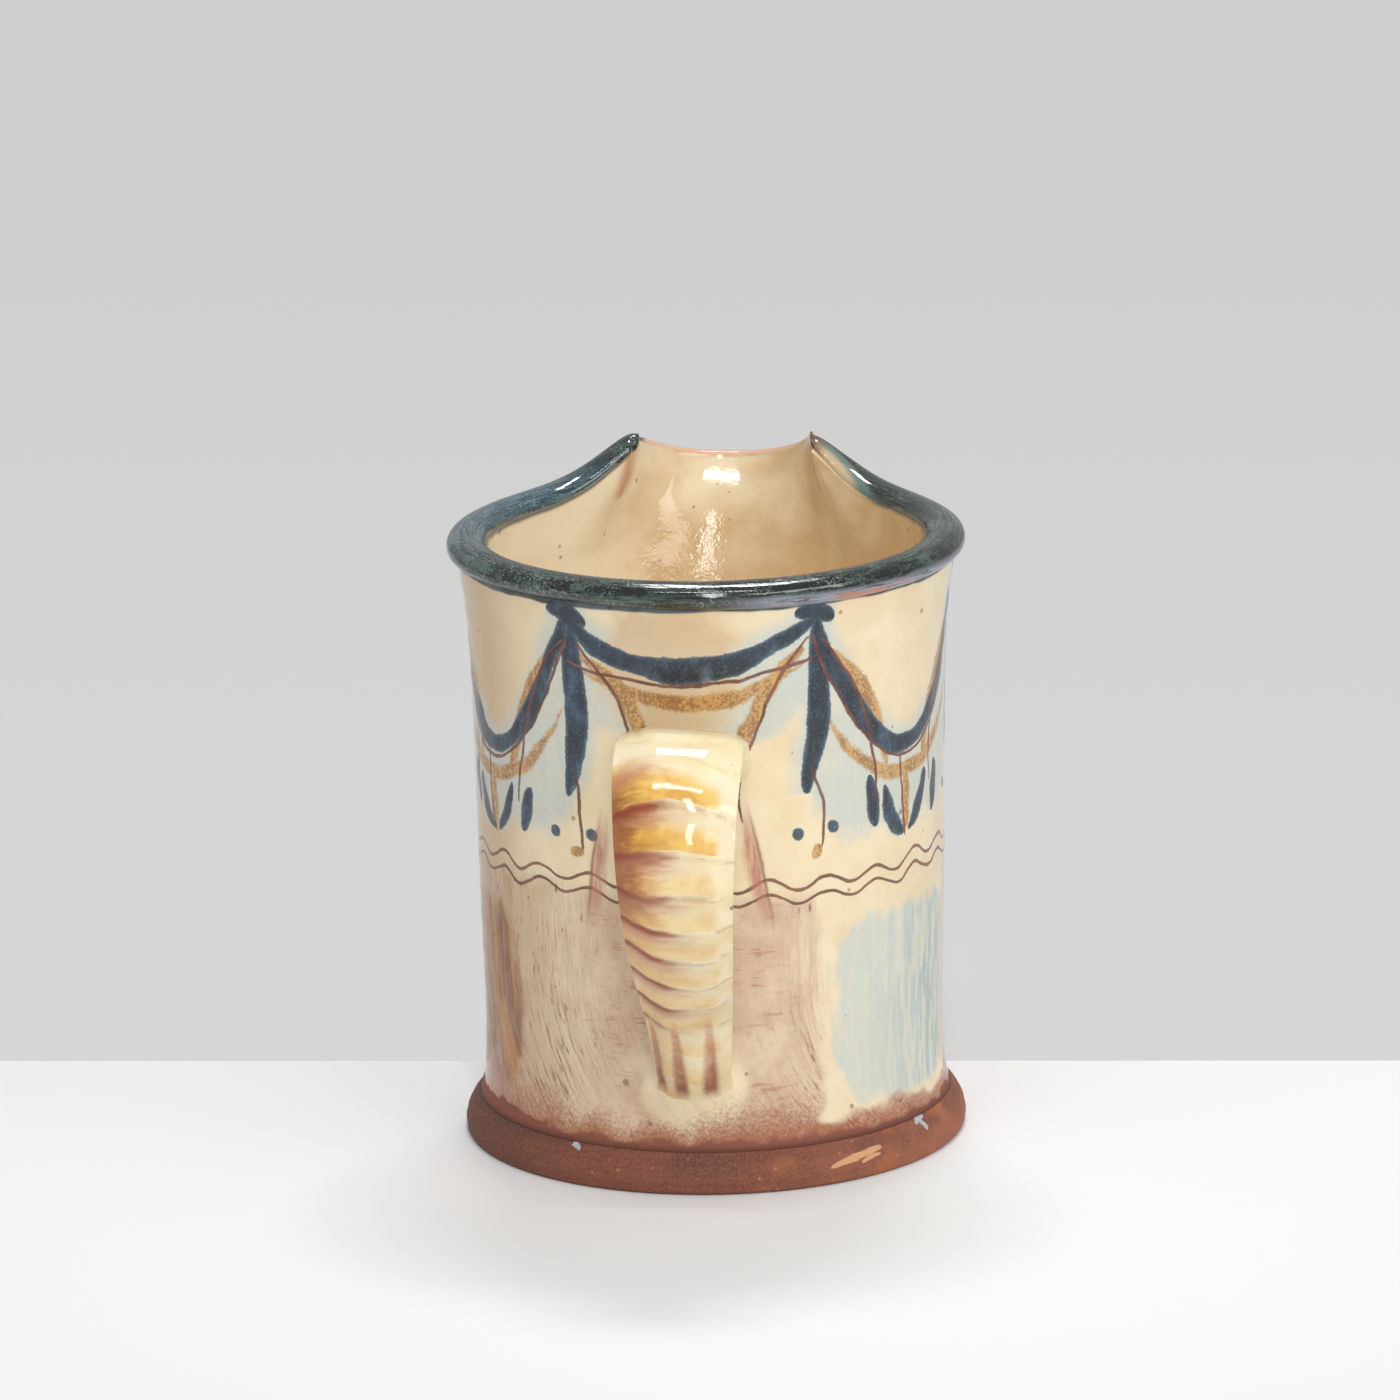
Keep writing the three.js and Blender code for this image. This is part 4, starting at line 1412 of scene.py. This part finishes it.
def honeyStrap():
    look, sizes = strapLook, strapSizes
    material, shader = newMaterial("honeyStrap")
    spot = jugAxes()[0]
    across, along, through = parted(mark("strapPlace", "Vector"))
    grain = noise(spot, 0.5, 2.0, 0.6)
    mottle = noise(spot, 5.0, 3.0, 0.6)
    drag = noise(stretched(spot, 0.2, 1.0, 1.0), 1.0, 3.0, 0.6)

    # each ridge of the strap lost its slip along the upper edge, most at the left
    slow = noise(spot, 9.0, 2.0, 0.5)
    square = across * across
    arch = square * ramp(along, 30.0, 57.0, 2.6, -2.8) * ramp(across, 0.3, -0.3, 0.45, 1.0)
    row = uneven(along, slow, 3.6) - arch
    row = row - across * 0.3
    beat = maths("FRACT", (row - sizes["rippleStart"]) / sizes["ripplePitch"])
    shifted = uneven(across, drag, 0.9)
    atLeft = ramp(shifted, 0.2, -0.45) * ramp(slow, 0.3, 0.55, 0.6, 1.0)
    started = ramp(row - sizes["rippleStart"], -0.6, 0.3) * ramp(along, 76.0, 71.0)
    dark = ramp(beat, -0.04, 0.1) * ramp(beat, 0.4, 0.1) * atLeft * started
    hazeShare = ramp(shifted, 0.7, -0.5, 0.08, 0.85)
    haze = ramp(beat, 0.0, 0.16) * ramp(beat, 0.7, 0.36) * hazeShare * started
    thread = ramp(abs(beat - 0.1), 0.13, 0.0) * ramp(drag, 0.46, 0.6) * started
    poolAcross = ramp(shifted, -1.2, -0.6) * ramp(uneven(across, slow, 0.4), 0.8, 0.6)
    pool = ramp(beat, 0.3, 0.75) * ramp(beat, 1.3, 0.95) * poolAcross
    pool = (pool * ramp(along, 43.0, 36.0, 0.45, 1.0) * ramp(along, 23.5, 26.5)
            * ramp(slow, 0.3, 0.5, 0.6, 1.0))
    burnt = ramp(shifted, 0.0, -0.65) * ramp(along, 23.0, 28.0) * ramp(along, 70.0, 36.0, 0.25, 1.0)
    outer = ramp(through, -0.2, 0.3)

    colour = mixed(ramp(mottle, 0.35, 0.7), look["cream"], look["creamWarm"])
    colour = mixed(burnt * outer * 0.85, colour, look["honeyDeep"])
    honey = mixed(ramp(mottle, 0.4, 0.65), look["honey"], look["honeyWarm"])
    colour = mixed(pool * outer * 0.92, colour, honey)
    colour = mixed(haze * outer * 0.7, colour, look["haze"])
    scorch = (ramp(shifted, -0.35, -0.95) * ramp(uneven(along, slow, 5.0), 27.0, 31.0)
              * ramp(along, 52.0, 43.0) * outer)
    colour = mixed(scorch * 0.8, colour, look["scorch"])
    colour = mixed(thread * outer * 0.32, colour, look["groove"])
    colour = mixed(dark * outer * 0.92, colour, look["stripe"])

    # the finger grooves at the foot are wiped down to the clay
    atFoot = (ramp(uneven(along, mottle, 3.0), 70.0, 76.0) * ramp(through, 0.1, 0.5)
              * ramp(along, 90.0, 87.0))
    for middle, _, _, wide in strapGrooves:
        offset = abs(uneven(across, grain, 0.12) - middle)
        spread = ramp(along, 70.0, 90.0, 0.35 * wide, wide)
        groove = ramp(offset / spread, 1.25, 0.35) * atFoot
        colour = mixed(groove * ramp(mottle, 0.35, 0.6, 0.65, 0.95), colour,
                       mixed(ramp(along, 74.0, 90.0), look["haze"], look["groove"]))
    specks = specksAt(spot, look["specks"])
    colour = mixed(specks * 0.7, colour, look["speck"])
    feed(shader.inputs["Base Color"], colour)
    shader.inputs["Roughness"].default_value = look["glaze"]
    addRelief(shader, look["relief"], mottle)
    return material


# Bare clay

clayLook = {
    "clay": (124, 72, 56),
    "darkClay": (86, 54, 46),
    "ledgeShade": (62, 50, 44),
    "flashedAndLit": (166, 100, 74),
    "orangeAndSheen": (184, 108, 60),
    "slipSmear": (224, 172, 126),
    "chip": (188, 196, 200),
    "clayDeep": (116, 62, 48),
    "grooved": (110, 58, 46),
    "dusty": (196, 130, 100),
    "lightSpeck": (214, 160, 124),
    "lightSpecks": (1.3, 0.22, 0.3),
    "darkSpeck": (80, 46, 38),
    "darkSpecks": (1.9, 0.26, 0.3),
    "roughness": 0.78,
    "relief": 0.8,
}


def bareClay():
    look = clayLook
    material, shader = newMaterial("bareClay")
    spot, around, up, turn = jugAxes()
    grain = noise(spot, 0.35, 3.0, 0.65)
    mottle = noise(spot, 6.0, 3.0, 0.6)
    ring = joined(maths("COSINE", turn) * 6.0, maths("SINE", turn) * 6.0, up * 1.6)
    wiped = noise(ring, 0.9, 3.0, 0.6)
    colour = mixed(ramp(wiped, 0.35, 0.7), look["clay"], look["clayDeep"])
    x, _, _ = parted(spot)
    # lighter towards the right, partly flashed clay and partly painted highlight; darker towards the
    # left
    sideways = uneven(x, mottle, 24.0)
    colour = mixed(ramp(sideways, 8.0, 36.0, 0.0, 0.75), colour, look["flashedAndLit"])
    colour = mixed(ramp(sideways, -14.0, -36.0, 0.0, 0.8), colour, look["darkClay"])
    groove = ramp(up, 3.8, 4.8) * ramp(mottle, 0.35, 0.6)
    colour = mixed(groove * 0.45, colour, look["grooved"])
    smoke = ramp(noise(spot, 11.0, 3.0, 0.6), 0.5, 0.62) * ramp(up, 1.0, 4.5)
    colour = mixed(smoke * 0.5, colour, look["darkClay"])
    # painted shade on the foot's ledge beside the wall, at the left
    ledge = ramp(uneven(up, mottle, 1.6), 4.6, 6.0) * ramp(sideways, -10.0, -30.0)
    colour = mixed(ledge * 0.75, colour, look["ledgeShade"])
    # orange clay towards the right, partly painted sheen
    orangeAndSheen = ramp(noise(spot, 7.0, 2.0, 0.5), 0.54, 0.64) * ramp(x, -5.0, 22.0)
    colour = mixed(orangeAndSheen * 0.45, colour, look["orangeAndSheen"])
    light = specksAt(spot, look["lightSpecks"])
    colour = mixed(light * 0.5, colour, look["lightSpeck"])
    dark = specksAt(spot, look["darkSpecks"])
    colour = mixed(dark * 0.5, colour, look["darkSpeck"])
    colour = mixed(ramp(grain, 0.3, 0.7, 0.0, 0.28), colour, look["dusty"])

    # a dash of slip wiped on the foot, and crumbs of pale glaze on its ledge
    flat = joined(around, up)
    for start, direction, length, half, seen in (
        ((19.0, 2.7), 9, 9.0, 0.5, "slipSmear"), ((24.0, 2.5), 14, 3.5, 0.28, "slipSmear"),
        ((36.2, 5.3), 12, 2.6, 0.5, "chip"), ((37.2, 5.7), -60, 2.0, 0.4, "chip"),
        ((-19.0, 5.7), -20, 1.6, 0.35, "chip"), ((-70.0, 5.7), -30, 2.0, 0.4, "chip"),
    ):
        off, wide, _ = stroke(flat, start, direction, length, 0.2, half, 0.4)
        paint, _ = placeGroup(paintEdge, off, wide, wiped, 0.8, 0.2)
        colour = mixed(paint * 0.9, colour, look[seen])
    feed(shader.inputs["Base Color"], colour)
    shader.inputs["Roughness"].default_value = look["roughness"]
    addRelief(shader, look["relief"], grain + wiped)
    return material


body.data.materials.append(paintedSlip())
rim.data.materials.append(rimGlaze())
handle.data.materials.append(honeyStrap())
clayFoot.data.materials.append(bareClay())
print("glazes and clay made")


# Table, backdrop and light

# metres; the colours are what the camera sees away from the jug, with painted shade on the floor at the
# left
stageSizes = {
    "reach": 4.0,
    "floorEdge": 0.0310,
    "edgeSoftness": 0.0002,
    "floorTurn": 1.4,
    "floorLeft": (243, 243, 243),
    "floorShadeLeftBack": (233, 232, 231),
    "floorRight": (247, 247, 247),
    "floor": (240, 241, 242),
    "backdropNear": (214, 214, 214),
    "backdropFar": (206, 206, 206),
    "roughness": 0.9,
    "worldLight": 0.43,
}

# power in watts, width and height in metres, and place: metres away, degrees round and degrees up
lamps = {
    "key": {"power": 5.0, "size": (0.42, 0.14), "place": (1.2, 178.0, 63.0), "roll": 0.0},
    "strip": {"power": 2.9, "size": (0.11, 0.68), "place": (1.1, 8.0, 35.0), "roll": 0.0},
    "panel": {"power": 4.2, "size": (1.0, 0.34), "place": (1.3, 48.0, 30.0), "roll": 0.0},
    "bridge": {"power": 1.5, "size": (0.6, 0.024), "place": (1.1, 5.0, 67.0), "roll": -6.5},
}
lampAim = (0, 0, 0.05)


def blended(share, first, second):
    return fed(addNode("MixShader"), range(3), (share, first.outputs[0], second.outputs[0]))


def buildTable():
    # a pale floor in front of a grey backdrop; away from the jug the camera sees them as plain tones
    sizes = stageSizes
    reach, soft = sizes["reach"], sizes["edgeSoftness"]
    corners = [(-reach, -reach, 0), (reach, -reach, 0), (reach, reach, 0), (-reach, reach, 0)]
    mesh = bpy.data.meshes.new("table")
    mesh.from_pydata(corners, [], [(0, 1, 2, 3)])
    table = bpy.data.objects.new("table", mesh)
    scene.collection.objects.link(table)
    material, shader = newMaterial("tableTop")
    place = addNode("TexCoord").outputs["Object"]
    x, y, _ = parted(place)
    edge = y + x * -math.tan(math.radians(sizes["floorTurn"]))
    behind = ramp(edge, sizes["floorEdge"] - soft, sizes["floorEdge"] + soft)
    grey = mixed(ramp(y, 0.05, 0.75), sizes["backdropNear"], sizes["backdropFar"])
    feed(shader.inputs["Base Color"], mixed(behind, sizes["floor"], grey))
    shader.inputs["Roughness"].default_value = sizes["roughness"]
    shader.inputs["Specular IOR Level"].default_value = 0.0
    # painted shade: the floor darker at the left of the jug, most towards the back, lighter at the
    # right
    left = mixed(ramp(y, -0.04, 0.025), sizes["floorLeft"], sizes["floorShadeLeftBack"])
    floor = mixed(ramp(x, -0.06, 0.05), left, sizes["floorRight"])
    glow = addNode("Emission")
    feed(glow.inputs[0], mixed(behind, floor, grey))
    away = vectorSum("LENGTH", place, result="Value")
    nearJug = ramp(abs(x), 0.037, 0.03) * ramp(y, 0.11, 0.06)
    far = highest(behind * (1.0 - nearJug), ramp(away, 0.08, 0.18))
    seen = addNode("LightPath").outputs["Is Camera Ray"]
    feed(material.node_tree.nodes["Material Output"].inputs[0], blended(far * seen, shader, glow))
    mesh.materials.append(material)


def addLamp(name, power, size, place, roll):
    lamp = bpy.data.lights.new(name, "AREA")
    lamp.shape = "RECTANGLE"
    lamp.size, lamp.size_y = size
    lamp.energy = power
    box = bpy.data.objects.new(name, lamp)
    scene.collection.objects.link(box)
    distance, around, up = place[0], math.radians(place[1]), math.radians(place[2])
    flat = math.cos(up)
    offset = Vector((math.sin(around) * flat, -math.cos(around) * flat, math.sin(up))) * distance
    box.location = Vector(lampAim) + offset
    rolled = Quaternion((0, 0, 1), math.radians(roll))
    box.rotation_euler = (offset.to_track_quat("Z", "Y") @ rolled).to_euler()


def buildLight():
    for name, sizes in lamps.items():
        addLamp(name + "Light", **sizes)
    world = bpy.data.worlds.new("studio")
    scene.world = world
    world.use_nodes = True
    tree = openTree(world.node_tree)
    back, seen = tree.nodes["Background"], addNode("Background")
    back.inputs[0].default_value = (1, 1, 1, 1)
    back.inputs[1].default_value = stageSizes["worldLight"]
    seen.inputs[0].default_value = tone(*stageSizes["backdropFar"])
    path = addNode("LightPath").outputs["Is Camera Ray"]
    feed(tree.nodes["World Output"].inputs[0], blended(path, back, seen))


# millimetres and degrees, fitted to the foot's outline and the two edges of the rim
cameraSizes = {
    "distance": 1300.0,
    "around": 5.0,
    "up": 15.33,
    "aimHeight": 45.0,
    "pitch": 14.45,
    "yaw": -0.059,
    "roll": -1.08,
    "lens": 223.12,
}


def buildCamera():
    sizes = cameraSizes
    around, up = math.radians(sizes["around"]), math.radians(sizes["up"])
    pitch, yaw, roll = (math.radians(sizes[k]) for k in ("pitch", "yaw", "roll"))
    ahead = Vector((math.sin(yaw) * math.cos(pitch), math.cos(yaw) * math.cos(pitch), -math.sin(pitch)))
    ahead = Matrix.Rotation(around, 3, "Z") @ ahead
    right = ahead.cross(Vector((0, 0, 1))).normalized()
    above = right.cross(ahead)
    leanRight = right * math.cos(roll) + above * math.sin(roll)
    leanUp = above * math.cos(roll) - right * math.sin(roll)
    lens = bpy.data.cameras.new("camera")
    lens.sensor_width = 36
    lens.lens = sizes["lens"]
    lens.clip_start, lens.clip_end = 0.05, 20
    camera = bpy.data.objects.new("camera", lens)
    scene.collection.objects.link(camera)
    flat = sizes["distance"] * math.cos(up)
    place = Vector((
        flat * math.sin(around), -flat * math.cos(around),
        sizes["aimHeight"] + sizes["distance"] * math.sin(up),
    )) * mm
    turn = Matrix((leanRight, leanUp, -ahead)).transposed().to_4x4()
    camera.matrix_world = Matrix.Translation(place) @ turn
    scene.camera = camera


buildTable()
buildLight()
buildCamera()
scene.view_settings.view_transform = "Standard"
print("table, light and camera set")
